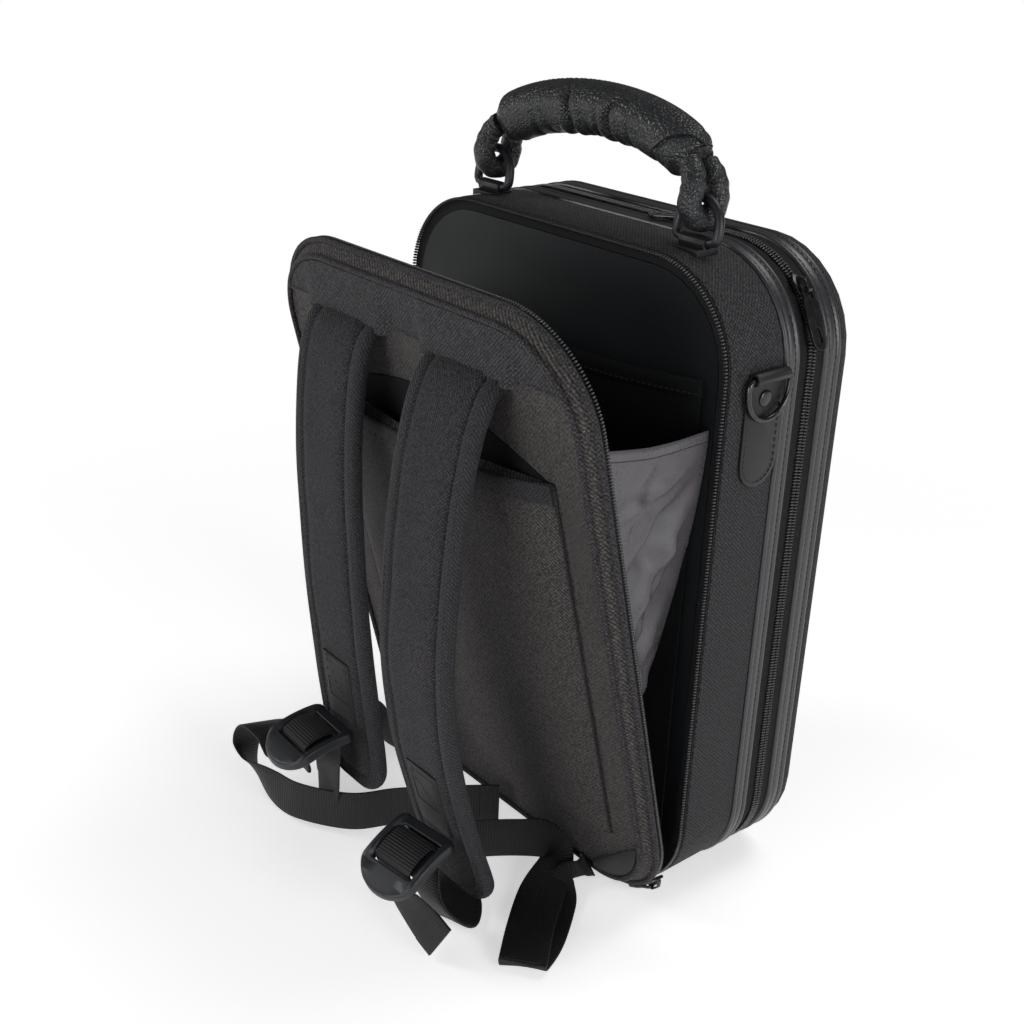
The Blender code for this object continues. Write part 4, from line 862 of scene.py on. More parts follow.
def makeDocumentPocket():
    # A cloth pocket with a turned hem, slack along its top edge
    lowest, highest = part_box("document_pocket")
    columns = document["columns"]
    levels = spread(lowest.z, highest.z, document["step"])
    rows = []
    for level in levels:
        share = (level - lowest.z) / (highest.z - lowest.z)
        row = []
        for column in range(columns + 1):
            u = column / columns * 2 - 1
            x = u * (document["half"] - max(0.0, document["corner"] - share) * document["draw"])
            slack = share ** 4 * (1 - u * u)
            y = (lowest.y + highest.y) / 2 - document["bulge"] * slack
            z = level - document["dip"] * slack
            y -= document["ripple"] * noise.noise(Vector((x * 28, z * 22, 3.0))) * (0.3 + share)
            row.append(Vector((x, y, z)))
        rows.append(row)
    sheet = loftPiece("document_pocket_cloth", rows, ring=False)
    modify(sheet, "SOLIDIFY", thickness=document["thick"], offset=0.0)
    smoothBy(sheet, 60)
    finish(sheet, clothInsideAndShade, "case", "oxford_cloth", "document_pocket")
    hemRows = []
    for depth, lift in ((document["hem"], 0.0006), (document["hem"] - 0.0006, 0.0012), (0.001, 0.0013),
                        (-0.0006, 0.0009), (-0.0009, 0.0), (-0.0006, -0.0009), (0.001, -0.0013),
                        (document["hem"] - 0.0006, -0.0012), (document["hem"], -0.0006)):
        hemRows.append([Vector((p.x, p.y - lift, p.z - depth)) for p in rows[-1]])
    hem = loftPiece("document_hem", [list(column) for column in zip(*hemRows)])
    smoothBy(hem, 50)
    finish(hem, clothInsideAndShade, "case", "oxford_cloth")
    spots = []
    for before, after in zip(rows[-1], rows[-1][1:]):
        drop = Vector((0.0, -document["face"], -document["hem"] * 0.75))
        spots += lineSpots([before + drop, after + drop], frontWay)
    stitchRow("document_stitch", spots, "case", slotName="oxford_cloth")


# The flap and what is sewn to it

flap = {"front": -0.0408, "inset": 0.0018, "low": 0.0047, "chamfer": 0.0055, "seam": 0.3165}


def easeIn(value, first, last):
    share = max(0.0, min(1.0, (value - first) / (last - first)))
    return share * share * (3 - 2 * share)


def closedPlace(point):
    return tipFlap.inverted() @ point


def edgeDistance(point, inset):
    # How far inside the flap's outline a closed place lies
    half = case["half"] - inset
    dx = half - abs(point.x)
    dz = min(point.z - flap["low"], case["top"] - inset - point.z)
    radius = case["corner"] - inset
    if dx < radius and dz < radius:
        return radius - math.hypot(radius - dx, radius - dz)
    return min(dx, dz)


def ruffle(point, scale, seed):
    return noise.noise(Vector((point.x * scale, point.z * scale, seed)))


def makeFlapFront():
    piece = takeCopy("flap_panel", "flap_cloth")
    softEdges(piece, 0.0011, 2, 25)
    sliceAt(piece, rightWay, spread(-0.108, 0.108, 0.007))
    sliceAt(piece, flapUp, spread(0.012, 0.340, 0.0075))
    front = flap["front"]
    for corner in piece.data.vertices:
        spot = closedPlace(corner.co)
        if spot.y < front + 0.0004:
            inner = easeIn(edgeDistance(spot, flap["inset"]), flap["chamfer"], 0.030)
            lift = ruffle(spot, 22, 1.0) * 0.0009 + ruffle(spot, 60, 5.0) * 0.00025
            puff = 0.0008 * inner + lift * inner
            corner.co = tipFlap @ (spot - Vector((0.0, puff * 0.35, 0.0)))
    smoothBy(piece, 50)
    finish(piece, clothTwill, "flap", "oxford_cloth", "flap_panel")


piping = {"pucker": 0.00012, "sides": 14,
          "rear": {"radius": 0.0016, "y": -0.0355, "inset": 0.0008, "rise": 0.0037},
          "front": {"radius": 0.0015, "y": -0.0416, "inset": 0.0073, "rise": 0.0102}}


def cordAlong(name, spots, radius, sides=12, closed=False, pucker=0.0, wave=0.004):
    # A round cord along places: point, way along and way out
    rows = []
    gone = 0.0
    for index, (point, along, out) in enumerate(spots):
        across = out.cross(along).normalized()
        if index:
            gone += (point - spots[index - 1][0]).length
        size = radius - pucker * (0.5 + 0.5 * math.sin(gone / wave * 2 * math.pi))
        rows.append([point + (out * math.cos(a) + across * math.sin(a)) * size
                     for a in (2 * math.pi * k / sides for k in range(sides))])
    return loftPiece(name, rows, closedAlong=closed)


def makePipings():
    for key in ("rear", "front"):
        shape = piping[key]
        path = outlinePath(shape["inset"], shape["rise"])
        spots = [(tipFlap @ (point + Vector((0.0, shape["y"], 0.0))), tipTurn @ along, tipTurn @ out)
                 for point, along, out in walk(path, 0.0026, True)]
        cord = cordAlong("piping_" + key + "_cord", spots, shape["radius"], piping["sides"], True,
                         piping["pucker"], 0.0052)
        finish(cord, clothBlack, "flap", "grained_vinyl", "piping_" + key)


yoke = {"hood": 0.0044, "fade": 0.026, "droop": 0.0024, "reach": 0.0285, "soft": 0.010, "hem": 0.0012}
strapJoints = {side: next(j for j in frame["joints"] if j["name"] == "strap_" + side + "_lift")
               for side in ("left", "right")}


def yokeLift(x, z):
    # The yoke's cloth swells over the top of each strap
    near = min(abs(x - joint["pos_m"][0]) for joint in strapJoints.values())
    across = 1 - easeIn(near, yoke["reach"], yoke["reach"] + yoke["soft"])
    return yoke["hood"] * across * (1 - easeIn(z - flap["seam"], 0.0, yoke["fade"]))


def yokePlace(x, z, out):
    # A closed place on the swollen yoke, by its height and its distance from the flap's face
    lift = yokeLift(x, z)
    return Vector((x, flap["front"] - out - lift, z - yoke["droop"] * lift / yoke["hood"]))


def makeYoke():
    piece = takeCopy("yoke_panel", "yoke_cloth")
    softEdges(piece, 0.0004, 2, 30)
    start = tipFlap @ Vector((0.0, flap["front"], flap["seam"]))
    sliceAt(piece, rightWay, spread(-0.104, 0.104, 0.004))
    sliceAt(piece, flapUp, spread(0.0020, 0.026, 0.003), start)
    for corner in piece.data.vertices:
        spot = closedPlace(corner.co)
        lift = yokeLift(spot.x, spot.z)
        corner.co = tipFlap @ (spot - Vector((0.0, lift, yoke["droop"] * lift / yoke["hood"])))
    smoothBy(piece, 50)
    finish(piece, clothBlack, "flap", "oxford_cloth", "yoke_panel")
    spots = []
    for x in spread(-0.108, 0.108, 0.002):
        lift = yokeLift(x, flap["seam"])
        height = flap["seam"] + 0.0004 - yoke["droop"] * lift / yoke["hood"]
        spots.append(tipFlap @ Vector((x, flap["front"] - 0.0009 - lift, height)))
    out = [tipTurn @ frontWay] * len(spots)
    steps = [(after - before).normalized() for before, after in zip(spots, spots[1:])]
    steps += steps[-1:]
    hem = cordAlong("yoke_hem", list(zip(spots, steps, out)), yoke["hem"])
    finish(hem, clothBlack, "flap", "oxford_cloth")
    # A thin dark cord just under the hem: the seam's line, and painted shade in the corner under the hem
    down = tipTurn @ Vector((0.0, 0.0004, -0.0013))
    lower = [spot + down for spot in spots]
    seam = cordAlong("yoke_seam_shade", list(zip(lower, steps, out)), yoke["hem"] * 0.6)
    finish(seam, threadBlack, "flap", "oxford_cloth")
    line = [yokePlace(x, flap["seam"] + 0.0032, 0.0015) for x in spread(-0.104, 0.104, 0.004)]
    stitchRow("yoke_stitch", lineSpots(line, frontWay), "flap", tip=tipFlap, slotName="oxford_cloth")


# The lip's profile: places forward and up from the pouch's mouth
stowLip = ((-0.0004, -0.0110), (-0.0011, -0.0104), (-0.0012, -0.0015), (-0.0008, 0.0004), (0.0004, 0.0009),
           (0.0016, 0.0004), (0.0019, -0.0015), (0.0019, -0.0104), (0.0012, -0.0110))
stow = {"half": 0.091, "bottom": 0.050, "top": 0.268, "deepTop": 0.0118, "deepBottom": 0.0040,
        "wall": 0.0012, "dip": 0.0035, "lining": 0.024, "columns": 34, "step": 0.008, "draw": 0.985,
        "seat": 0.0003, "hide": 0.060, "thin": 0.0006, "foot": 0.0016, "welt": 0.0009}


def stowFront(u, z):
    # A closed place on the pouch's outer face: u goes from -1 to 1 across it
    share = (z - stow["bottom"]) / (stow["top"] - stow["bottom"])
    depth = stow["deepBottom"] + (stow["deepTop"] - stow["deepBottom"]) * share
    rim = 1 - abs(u) ** (8 - 5 * share ** 3)
    ripple = ruffle(Vector((u * 0.09, 0.0, z)), 30, 9.0) * 0.0008 * rim
    dip = stow["dip"] * share ** 6 * (1 - u * u)
    y = flap["front"] - stow["seat"] - depth * (0.14 + 0.86 * rim) - ripple * (0.4 + share)
    return Vector((u * stow["half"], y, z - dip))


def makeStowPocket():
    # A flat pouch whose mouth bows open a little, with a bound lip and sewn side seams, and a dark sheet on
    # the flap behind it that rises above the mouth: painted shade of the straps and the open mouth
    back = flap["front"] - stow["seat"]
    across = [column / stow["columns"] * 2 - 1 for column in range(stow["columns"] + 1)]
    rows = []
    for z in spread(stow["bottom"], stow["top"], stow["step"]):
        outer = [stowFront(u, z) for u in across]
        rows.append(outer + [Vector((p.x * stow["draw"], min(p.y + stow["wall"], back - 0.0005), p.z))
                             for p in reversed(outer)])
    # A dark sheet on the flap's face, hidden in the pouch below and rising above its mouth in the middle:
    # painted shade where the straps and the open mouth shade the flap
    inside = []
    for u in (share * stow["draw"] for share in across):
        top = stow["top"] + stow["lining"] * (1 - abs(u) ** 1.7) - 0.002
        bottom = stow["top"] - stow["hide"]
        inside.append([Vector((u * stow["half"], back - lift, z)) for z, lift in
                       ((bottom, 0.0), (bottom, stow["thin"]), (top, stow["thin"]), (top, 0.0))])
    lip = [[stowFront(u, stow["top"]) + Vector((0.0, y, z)) for y, z in stowLip] for u in across]
    for name, shape, smooth, material, nodes in (("stow_front", rows, 60, clothTwill, ("stow_pocket",)),
                                                 ("stow_lining", inside, 40, clothInsideAndShade, ()),
                                                 ("stow_lip", lip, 60, bindingTape, ())):
        piece = loftPiece(name, shape)
        piece.data.transform(tipFlap)
        smoothBy(piece, smooth)
        finish(piece, material, "flap", "oxford_cloth", *nodes)
    spots = []
    for ends in zip(across, across[1:]):
        line = [stowFront(u, stow["top"]) + Vector((0.0, -0.0013, -0.0088)) for u in ends]
        spots += lineSpots(line, frontWay)
    for sign in (-1, 1):
        x = sign * (stow["half"] + 0.0018)
        spots += lineSpots([Vector((x, back - 0.0004, stow[key])) for key in ("bottom", "top")], frontWay)
    edge = stow["half"] - 0.0022
    spots += lineSpots([Vector((x, back - 0.0006, stow["bottom"] - stow["foot"])) for x in (-edge, edge)],
                       frontWay)
    stitchRow("stow_stitch", spots, "flap", tip=tipFlap, slotName="oxford_cloth")
    for side, sign in (("left", -1), ("right", 1)):
        path = [(Vector((sign * (stow["half"] + 0.0002), back - 0.0006, z)), upWay, frontWay)
                for z in spread(stow["bottom"], stow["top"], 0.006)]
        cord = cordAlong("stow_seam_" + side, path, stow["welt"], 8, pucker=0.00015)
        cord.data.transform(tipFlap)
        finish(cord, bindingTape, "flap", "oxford_cloth")


def makeCornerTabs():
    for side, sign in (("left", -1), ("right", 1)):
        node = "corner_tab_" + side
        piece = dressSolid(node, "corner_patch_" + side, "flap", webTape, "webbing", (0.0004, 2, 30), 40)
        mapByOutline(piece)
        y = flap["front"] - 0.0018
        line = [Vector((sign * 0.0745, y, 0.0200)), Vector((sign * 0.1085, y, 0.0500))]
        stitchRow("corner_stitch_" + side, lineSpots(line, frontWay), "flap", tip=tipFlap)


gusset = {"low": 0.060, "nearTop": 0.288, "farTop": 0.272, "inset": 0.0078, "seam": 0.1110, "tuck": 0.047,
          "thick": 0.0006, "near": -0.0345, "wall": -0.0282, "columns": 44, "rows": 110, "wrinkle": 0.0050,
          "ridge": 0.0042, "fine": 0.0024, "bulge": 0.005, "sag": 0.0030, "hem": 0.0052, "hemOut": 0.0011,
          "crown": 0.0010, "middle": 0.17}


# Each fold of a gusset: share and level where it starts, where it ends, and how strongly it stands out
folds = ((1.00, 0.97, 0.02, 0.80, 0.9), (1.00, 0.91, 0.05, 0.62, -0.8), (1.00, 0.86, 0.00, 0.47, 1.0),
         (0.97, 0.74, 0.10, 0.36, -0.7), (0.95, 0.62, 0.00, 0.22, 0.8), (0.62, 0.99, 0.20, 0.70, -0.6),
         (0.40, 0.60, 0.30, 0.20, 0.6), (0.90, 0.46, 0.15, 0.10, 0.7), (0.75, 0.84, 0.60, 0.55, 0.5))


def foldLift(u, v, width, height):
    # Long sharp-backed folds that fan out from the top corner at the wall
    lift = 0.0
    here = Vector((u, v))
    for firstShare, firstLevel, lastShare, lastLevel, strength in folds:
        start = Vector((firstShare * width, firstLevel * height))
        reach = Vector((lastShare * width, lastLevel * height)) - start
        along = (here - start).dot(reach) / reach.length_squared
        if not -0.1 < along < 1.1:
            continue
        off = (here - start).cross(reach.normalized())
        body = math.sin(math.pi * min(1.0, max(0.0, (along + 0.1) / 1.2)))
        ridge = math.exp(-(off / gusset["ridge"]) ** 2)
        valley = math.exp(-((off - gusset["ridge"] * 1.7) / (gusset["ridge"] * 1.3)) ** 2)
        lift += strength * body * (ridge - 0.55 * valley)
    return lift


def gussetPoint(sign, level, share):
    # A place on the slack cloth: level goes from its foot to its top, share from the flap to the wall
    nearZ = gusset["low"] + (gusset["nearTop"] - gusset["low"]) * level
    farZ = gusset["low"] + (gusset["farTop"] - gusset["low"]) * level
    near = tipFlap @ Vector((sign * (case["half"] - gusset["inset"]), gusset["near"], nearZ))
    far = Vector((sign * (gusset["seam"] - gusset["tuck"] * (1 - level) ** 1.55), gusset["wall"], farZ))
    point = near.lerp(far, share)
    slack = math.sin(math.pi * share)
    length = (far - near).length
    u = share * length
    height = gusset["nearTop"] - gusset["low"]
    big = foldLift(u, level * height, length, height)
    small = noise.noise(Vector((u * 70, level * 16, 5.0)))
    inward = gusset["bulge"] * (1 - level) * slack
    held = 1 - 0.7 * easeIn(level, 0.85, 1.0)
    push = (big * gusset["wrinkle"] + small * gusset["fine"]) * slack ** 0.6 * held
    drop = gusset["sag"] * slack * easeIn(level, 0.80, 1.0)
    return point + Vector((-sign * inward + sign * push * 0.75, push * 0.55, -drop))


def makeGussets():
    # Thin cloth between the flap and the pocket's back, wider at the top and tucked in below
    levels = [index / gusset["rows"] for index in range(gusset["rows"] + 1)]
    shares = [index / gusset["columns"] for index in range(gusset["columns"] + 1)]
    height = gusset["nearTop"] - gusset["low"]
    for side, sign in (("left", -1), ("right", 1)):
        rows = [[gussetPoint(sign, level, share) for share in shares] for level in levels]
        sheet = loftPiece("gusset_cloth_" + side, rows, ring=False)
        modify(sheet, "SOLIDIFY", thickness=gusset["thick"], offset=0.0)
        smoothBy(sheet, 70)
        hemLevels = [1 - gusset["hem"] * k / 4 / height for k in range(5)]
        face = Vector((sign * 0.8, -0.6, 0.0))
        off = face * gusset["hemOut"]
        profile = []
        for share in shares:
            front = [gussetPoint(sign, level, share) + off for level in hemLevels]
            back = [gussetPoint(sign, level, share) - off for level in reversed(hemLevels)]
            crown = gussetPoint(sign, 1.0, share) + upWay * gusset["crown"]
            profile.append([crown] + front + back)
        hem = loftPiece("gusset_hem_" + side, profile)
        smoothBy(hem, 60)
        threadLevel = 1 - gusset["hem"] * 0.86 / height
        line = [gussetPoint(sign, threadLevel, share) + off for share in shares]
        seed = makeSeed(stitch["length"], stitch["width"], stitch["height"])
        thread = scatter("gusset_stitch_" + side, seed,
                         [placeMatrix(point, along, (face - along * face.dot(along)).normalized())
                          for point, along, out in lineSpots(line, face)])
        for piece, material in ((sheet, taffetaGrey), (hem, taffetaGrey), (thread, threadBlack)):
            piece.data.materials.append(material)
            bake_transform(piece)
        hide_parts("gusset_" + side)


# Handle

grip = {"sides": 44, "density": 12, "crease": 0.0036, "creaseWidth": 0.0019,
        "creases": (-0.0150, 0.0165), "smallCreases": (-0.041, -0.030, -0.004, 0.006, 0.033, 0.046),
        "smallDepth": 0.0013, "end": 0.0070}


def tubeFrames(node, density):
    rings = ringsOf(node)
    centres = [sum(ring, Vector()) / len(ring) for ring in rings]
    radius = sum((p - centres[len(rings) // 2]).length for p in rings[len(rings) // 2]) / len(rings[0])
    points = curveThrough(centres, density * (len(rings) - 1))
    return points, radius


def gripDrop(x, angle, lower):
    # How deep the leather's folds lie at a place along the grip and round it
    drop = 0.0
    for place in grip["creases"]:
        wander = 0.0018 * math.sin(angle * 1.5 + place * 90)
        deep = grip["crease"] * math.exp(-((x - place - wander) / grip["creaseWidth"]) ** 2)
        drop += deep * easeIn(lower, 0.03, 0.30)
        drop -= 0.0006 * math.exp(-((abs(x - place - wander) - 0.0052) / 0.0022) ** 2) * lower
    for order, place in enumerate(grip["smallCreases"]):
        wander = 0.0030 * math.sin(angle * 1.3 + order * 2.1)
        drop += grip["smallDepth"] * math.exp(-((x - place - wander) / 0.0014) ** 2) * lower
    return drop


def gripTaper(points, place):
    near = min((place - points[0]).length, (place - points[-1]).length)
    return 1 - 0.26 * (1 - easeIn(near, 0.0, grip["end"]))


def gripFrame(points, lean, x):
    # The grip's middle, its way along, and the ways up and to the front at a place across the case
    span = max(1, min(len(points) - 1, bisect_right([point.x for point in points], x)))
    before, after = points[span - 1], points[span]
    point = before.lerp(after, (x - before.x) / (after.x - before.x))
    along = (points[min(span + 1, len(points) - 1)] - points[max(span - 2, 0)]).normalized()
    up = (lean - along * lean.dot(along)).normalized()
    front = along.cross(up).normalized()
    return point, along, up, front if front.y < 0 else -front


def makeGrip():
    points, radius = tubeFrames("handle_grip", grip["density"])
    if points[0].x > points[-1].x:
        points.reverse()
    lean = (points[len(points) // 2] - (points[0] + points[-1]) / 2).normalized()
    sides = grip["sides"]
    rows = []
    for place in points:
        point, along, up, front = gripFrame(points, lean, place.x)
        taper = gripTaper(points, place)
        row = []
        for k in range(sides):
            angle = 2 * math.pi * k / sides
            way = up * math.cos(angle) + front * math.sin(angle)
            lower = 0.5 - 0.5 * math.cos(angle)
            swell = 0.0007 * noise.noise(Vector((point.x * 60, math.cos(angle), math.sin(angle))))
            row.append(point + way * (radius * taper - gripDrop(point.x, angle, lower) + swell - 0.0002))
        rows.append(row)
    piece = loftPiece("grip_leather", rows)
    smoothBy(piece, 70)
    finish(piece, leatherBlack, "handle", "pebbled_leather", "handle_grip")
    makeGripWrap(points, radius, lean)


wrap = {"from": -0.0660, "to": 0.0690, "slant": 0.0180, "first": 2.0, "last": 112.0, "lift": 0.0010,
        "columns": 24, "rows": 110, "thick": 0.0013, "tuck": 0.0016, "freeRows": 14.0}


def makeGripWrap(points, radius, lean):
    # The leather's free edge lies over the top ridge and ends in a pointed corner
    rows = []
    edge = []
    for index in range(wrap["rows"] + 1):
        row = []
        for column in range(wrap["columns"] + 1):
            share = column / wrap["columns"]
            reach = wrap["to"] - wrap["slant"] * share ** 0.8 - wrap["from"]
            x = wrap["from"] + reach * index / wrap["rows"]
            point, along, up, front = gripFrame(points, lean, x)
            angle = math.radians(wrap["first"] + (wrap["last"] - wrap["first"]) * share)
            way = up * math.cos(angle) + front * math.sin(angle)
            lower = 0.5 - 0.5 * math.cos(angle)
            free = 1 - easeIn(wrap["rows"] - index, 0.0, wrap["freeRows"])
            sink = wrap["tuck"] * easeIn(share, 0.70, 1.0) * (1 - free)
            size = radius * gripTaper(points, point) - gripDrop(x, angle, lower) * (1 - 0.6 * free)
            size += wrap["lift"] - sink
            row.append(point + way * size)
            if column == 1:
                edge.append((row[-1] + way * 0.0006, along, way))
        rows.append(row)
    leaf = loftPiece("grip_wrap", rows, ring=False)
    modify(leaf, "SOLIDIFY", thickness=wrap["thick"], offset=0.0)
    smoothBy(leaf, 60)
    finish(leaf, leatherBlack, "handle", "pebbled_leather")
    spots = []
    gone = 0.0
    for before, after in zip(edge, edge[1:]):
        gone += (after[0] - before[0]).length
        if gone >= stitch["pitch"]:
            gone -= stitch["pitch"]
            spots.append(after)
    for before, after in zip(rows[-4][1:-4:2], rows[-4][3:-2:2]):
        way = (before - gripFrame(points, lean, before.x)[0]).normalized()
        spots.append((before + way * 0.0007, (after - before).normalized(), way))
    stitchRow("grip_stitch", spots, "handle", slotName="pebbled_leather")


loop = {"sides": 18, "seam": 0.0007, "seamAt": 4.2, "seamWide": 0.16, "fold": 0.00018, "inset": 0.0003}


def makeHandleLoops():
    for side in ("left", "right"):
        node = "handle_loop_" + side
        points, radius = tubeFrames(node, 4)
        rows = []
        for index, point in enumerate(points):
            along = frameAt(points, index)
            across = (rightWay - along * rightWay.dot(along)).normalized()
            out = along.cross(across)
            share = index / (len(points) - 1)
            row = []
            for k in range(loop["sides"]):
                angle = 2 * math.pi * k / loop["sides"]
                way = across * math.cos(angle) + out * math.sin(angle)
                seam = loop["seam"] * math.exp(-((angle - loop["seamAt"]) / loop["seamWide"]) ** 2)
                fold = loop["fold"] * math.sin(share * 70 + 2 * math.cos(angle))
                row.append(point + way * (radius - loop["inset"] - seam + fold))
            rows.append(row)
        piece = loftPiece("loop_leather_" + side, rows)
        smoothBy(piece, 70)
        finish(piece, leatherBlack, "handle", "pebbled_leather", node)


def makeHandleFittings():
    for side in ("left", "right"):
        ring = "handle_ring_" + side
        dressRound(ring, "grip_ring_" + side, "handle", glossBlack, "gloss_plastic", fatter=0.0005)
        dressSolid("handle_tab_" + side, "ring_loop_" + side, "case", vinylPatch, "grained_vinyl",
                   (0.0003, 2, 35))


# Side rings

sling = {"margin": 0.0022, "top": 0.2905, "out": 0.0015}


def makeSideFittings():
    for side, sign in (("left", -1), ("right", 1)):
        node = "side_tab_" + side
        dressSolid(node, "sling_tab_" + side, "case", vinylPatch, "grained_vinyl", (0.0004, 2, 35))
        lowest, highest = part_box(node)
        middle = (lowest.y + highest.y) / 2
        half = (highest.y - lowest.y) / 2 - sling["margin"]
        x = sign * (case["half"] + sling["out"])
        base = lowest.z + sling["margin"] + half
        line = [Vector((x, middle - half, sling["top"]))]
        line += [Vector((x, middle - half * math.cos(a), base - half * math.sin(a)))
                 for a in (math.pi * k / 12 for k in range(13))]
        line.append(Vector((x, middle + half, sling["top"])))
        stitchRow("sling_stitch_" + side, lineSpots(line, Vector((sign, 0.0, 0.0))), "case", 0.0001,
                  slotName="grained_vinyl")
        ring, rivet = "side_ring_" + side, "side_rivet_" + side
        dressRound(ring, "sling_ring_" + side, ring, metalBlack, "black_metal")
        dressRound(rivet, "sling_rivet_" + side, "case", metalBlack, "black_metal")


# Sliders

def makeSliders():
    for key in ("corner", "top", "pocket"):
        for kind, width in (("slider", 0.00035), ("pull", 0.00030)):
            node = kind + "_" + key
            dressSolid(node, "zip_" + node, node, metalBlack, "black_metal", (width, 2, 30))


# Straps and webbing

strap = {"half": 0.0275, "thick": 0.0094, "end": 0.0200, "binding": 0.0088, "step": 0.0036, "roll": 0.0030,
         "rim": 0.0040,
         "edges": (0.0, 0.0004, 0.0013, 0.0028, 0.0055, 0.0078, 0.0085, 0.0089, 0.0096, 0.0112, 0.0145,
                   0.0195)}


def strapRun(side):
    # The strap's middle line from the yoke down, with the length gone at each place
    centres = [sum(ring, Vector()) / len(ring) for ring in ringsOf("shoulder_strap_" + side)]
    if centres[0].z < centres[-1].z:
        centres.reverse()
    line = curveThrough(centres, 300)
    gone = [0.0]
    for before, after in zip(line, line[1:]):
        gone.append(gone[-1] + (after - before).length)
    return line, gone


def strapSpot(run, far):
    # A place on the middle line, the way ahead and the way out of the strap's face
    line, gone = run
    index = max(0, min(bisect_right(gone, far) - 1, len(line) - 2))
    point = line[index].lerp(line[index + 1], (far - gone[index]) / (gone[index + 1] - gone[index]))
    ahead = (line[min(index + 4, len(line) - 1)] - line[max(index - 3, 0)]).normalized()
    face = ahead.cross(rightWay).normalized()
    return point, ahead, face if face.y < 0 else -face


def strapEdge(x, left):
    # Distance from the strap's outline, where this much of its length is left
    reach = strap["end"]
    side = strap["half"] - abs(x)
    if side < reach and left < reach:
        return reach - math.hypot(reach - side, reach - left)
    return min(side, left)


def strapRise(edge):
    # Half the thickness at a distance from the outline: bound edge, stitched groove, padded middle
    bound = 0.39 * math.sqrt(max(0.0, 1 - (1 - min(edge / strap["roll"], 1.0)) ** 2))
    crown = 0.11 * easeIn(edge, strap["binding"], strap["binding"] + 0.006)
    groove = 0.14 * math.exp(-((edge - strap["binding"]) / 0.0007) ** 2)
    return strap["thick"] * (bound + crown - groove)


def makeStrapPads():
    for side in ("left", "right"):
        run = strapRun(side)
        full = run[1][-1]
        reach = strap["end"]
        places = spread(0.0, full - reach, strap["step"])
        places += [full - reach + reach * math.sin(math.radians(a)) for a in spread(8, 88, 8)]
        outer = [1 - edge / strap["half"] for edge in strap["edges"]]
        across = [-share for share in outer] + [0.0] + list(reversed(outer))
        rows = []
        edges = []
        for far in places:
            point, ahead, face = strapSpot(run, far)
            left = full - far
            half = strap["half"]
            if left < reach:
                half += math.sqrt(max(reach ** 2 - (reach - left) ** 2, 0.0)) - reach
            row = []
            kept = []
            for sign, shares in ((1, across), (-1, list(reversed(across))[1:-1])):
                for share in shares:
                    edge = max(0.0, strapEdge(share * half, left))
                    soft = noise.noise(Vector((share * 3, far * 30, 4.0 * sign))) * 0.0006
                    rise = sign * (strapRise(edge) + soft * min(1.0, edge / 0.005))
                    row.append(point + Vector((share * half, 0.0, 0.0)) + face * rise)
                    kept.append(edge)
            rows.append(row)
            edges.append(kept)
        pad = loftPiece("strap_pad_" + side, rows)
        pad.data.materials.append(clothStrap)
        pad.data.materials.append(bindingTape)
        count = len(rows[0])
        for index, polygon in enumerate(pad.data.polygons):
            row, column = divmod(index, count)
            if row >= len(rows) - 1:
                polygon.material_index = 1
            else:
                edge = (edges[row][column] + edges[row + 1][(column + 1) % count]) / 2
                polygon.material_index = 1 if edge < strap["binding"] - 0.0001 else 0
        smoothBy(pad, 60)
        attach(pad, "strap_" + side)
        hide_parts("shoulder_strap_" + side)
        for key, inset in (("seam", strap["binding"] - 0.0004), ("rim", strap["rim"])):
            inner = reach - inset
            plan = [(inset - strap["half"], far) for far in spread(0.004, full - reach, 0.008)]
            plan += [(reach - strap["half"] - inner * math.cos(math.radians(a)),
                      full - reach + inner * math.sin(math.radians(a))) for a in spread(9, 90, 9)]
            plan += [(-x, far) for x, far in reversed(plan)]
            spots = []
            for (x, far), (nextX, nextFar) in zip(plan, plan[1:]):
                here, ahead, face = strapSpot(run, far)
                there = strapSpot(run, nextFar)[0]
                rise = face * (strapRise(inset) + 0.0001)
                spots += lineSpots([here + rightWay * x + rise, there + rightWay * nextX + rise], face)
            stitchRow("strap_" + key + "_" + side, spots, "strap_" + side, slotName="oxford_cloth")


# A tape's section: shares of its half width and of its half thickness
tapeShape = ((-1.0, 0.0), (-0.985, 0.55), (-0.94, 0.95), (-0.5, 1.0), (0.0, 1.0), (0.5, 1.0), (0.94, 0.95),
             (0.985, 0.55), (1.0, 0.0), (0.985, -0.55), (0.94, -0.95), (0.5, -1.0), (0.0, -1.0),
             (-0.5, -1.0), (-0.94, -0.95), (-0.985, -0.55))


def tapeRows(centres, wides, halves, thickness):
    # A woven tape's sections: a flat strip with soft edges
    rows = []
    for index, (point, wide, half) in enumerate(zip(centres, wides, halves)):
        ahead = frameAt(centres, index)
        across = (wide - ahead * wide.dot(ahead)).normalized()
        up = across.cross(ahead).normalized()
        rows.append([point + across * (s * half) + up * (v * thickness / 2) for s, v in tapeShape])
    return rows


# The strap's patch: a sewn box with a cross, as shares of its length and its half width
patch = {"thick": 0.0014, "inset": 0.0095, "first": 0.06, "last": 0.62, "steps": 9, "out": 0.0008}


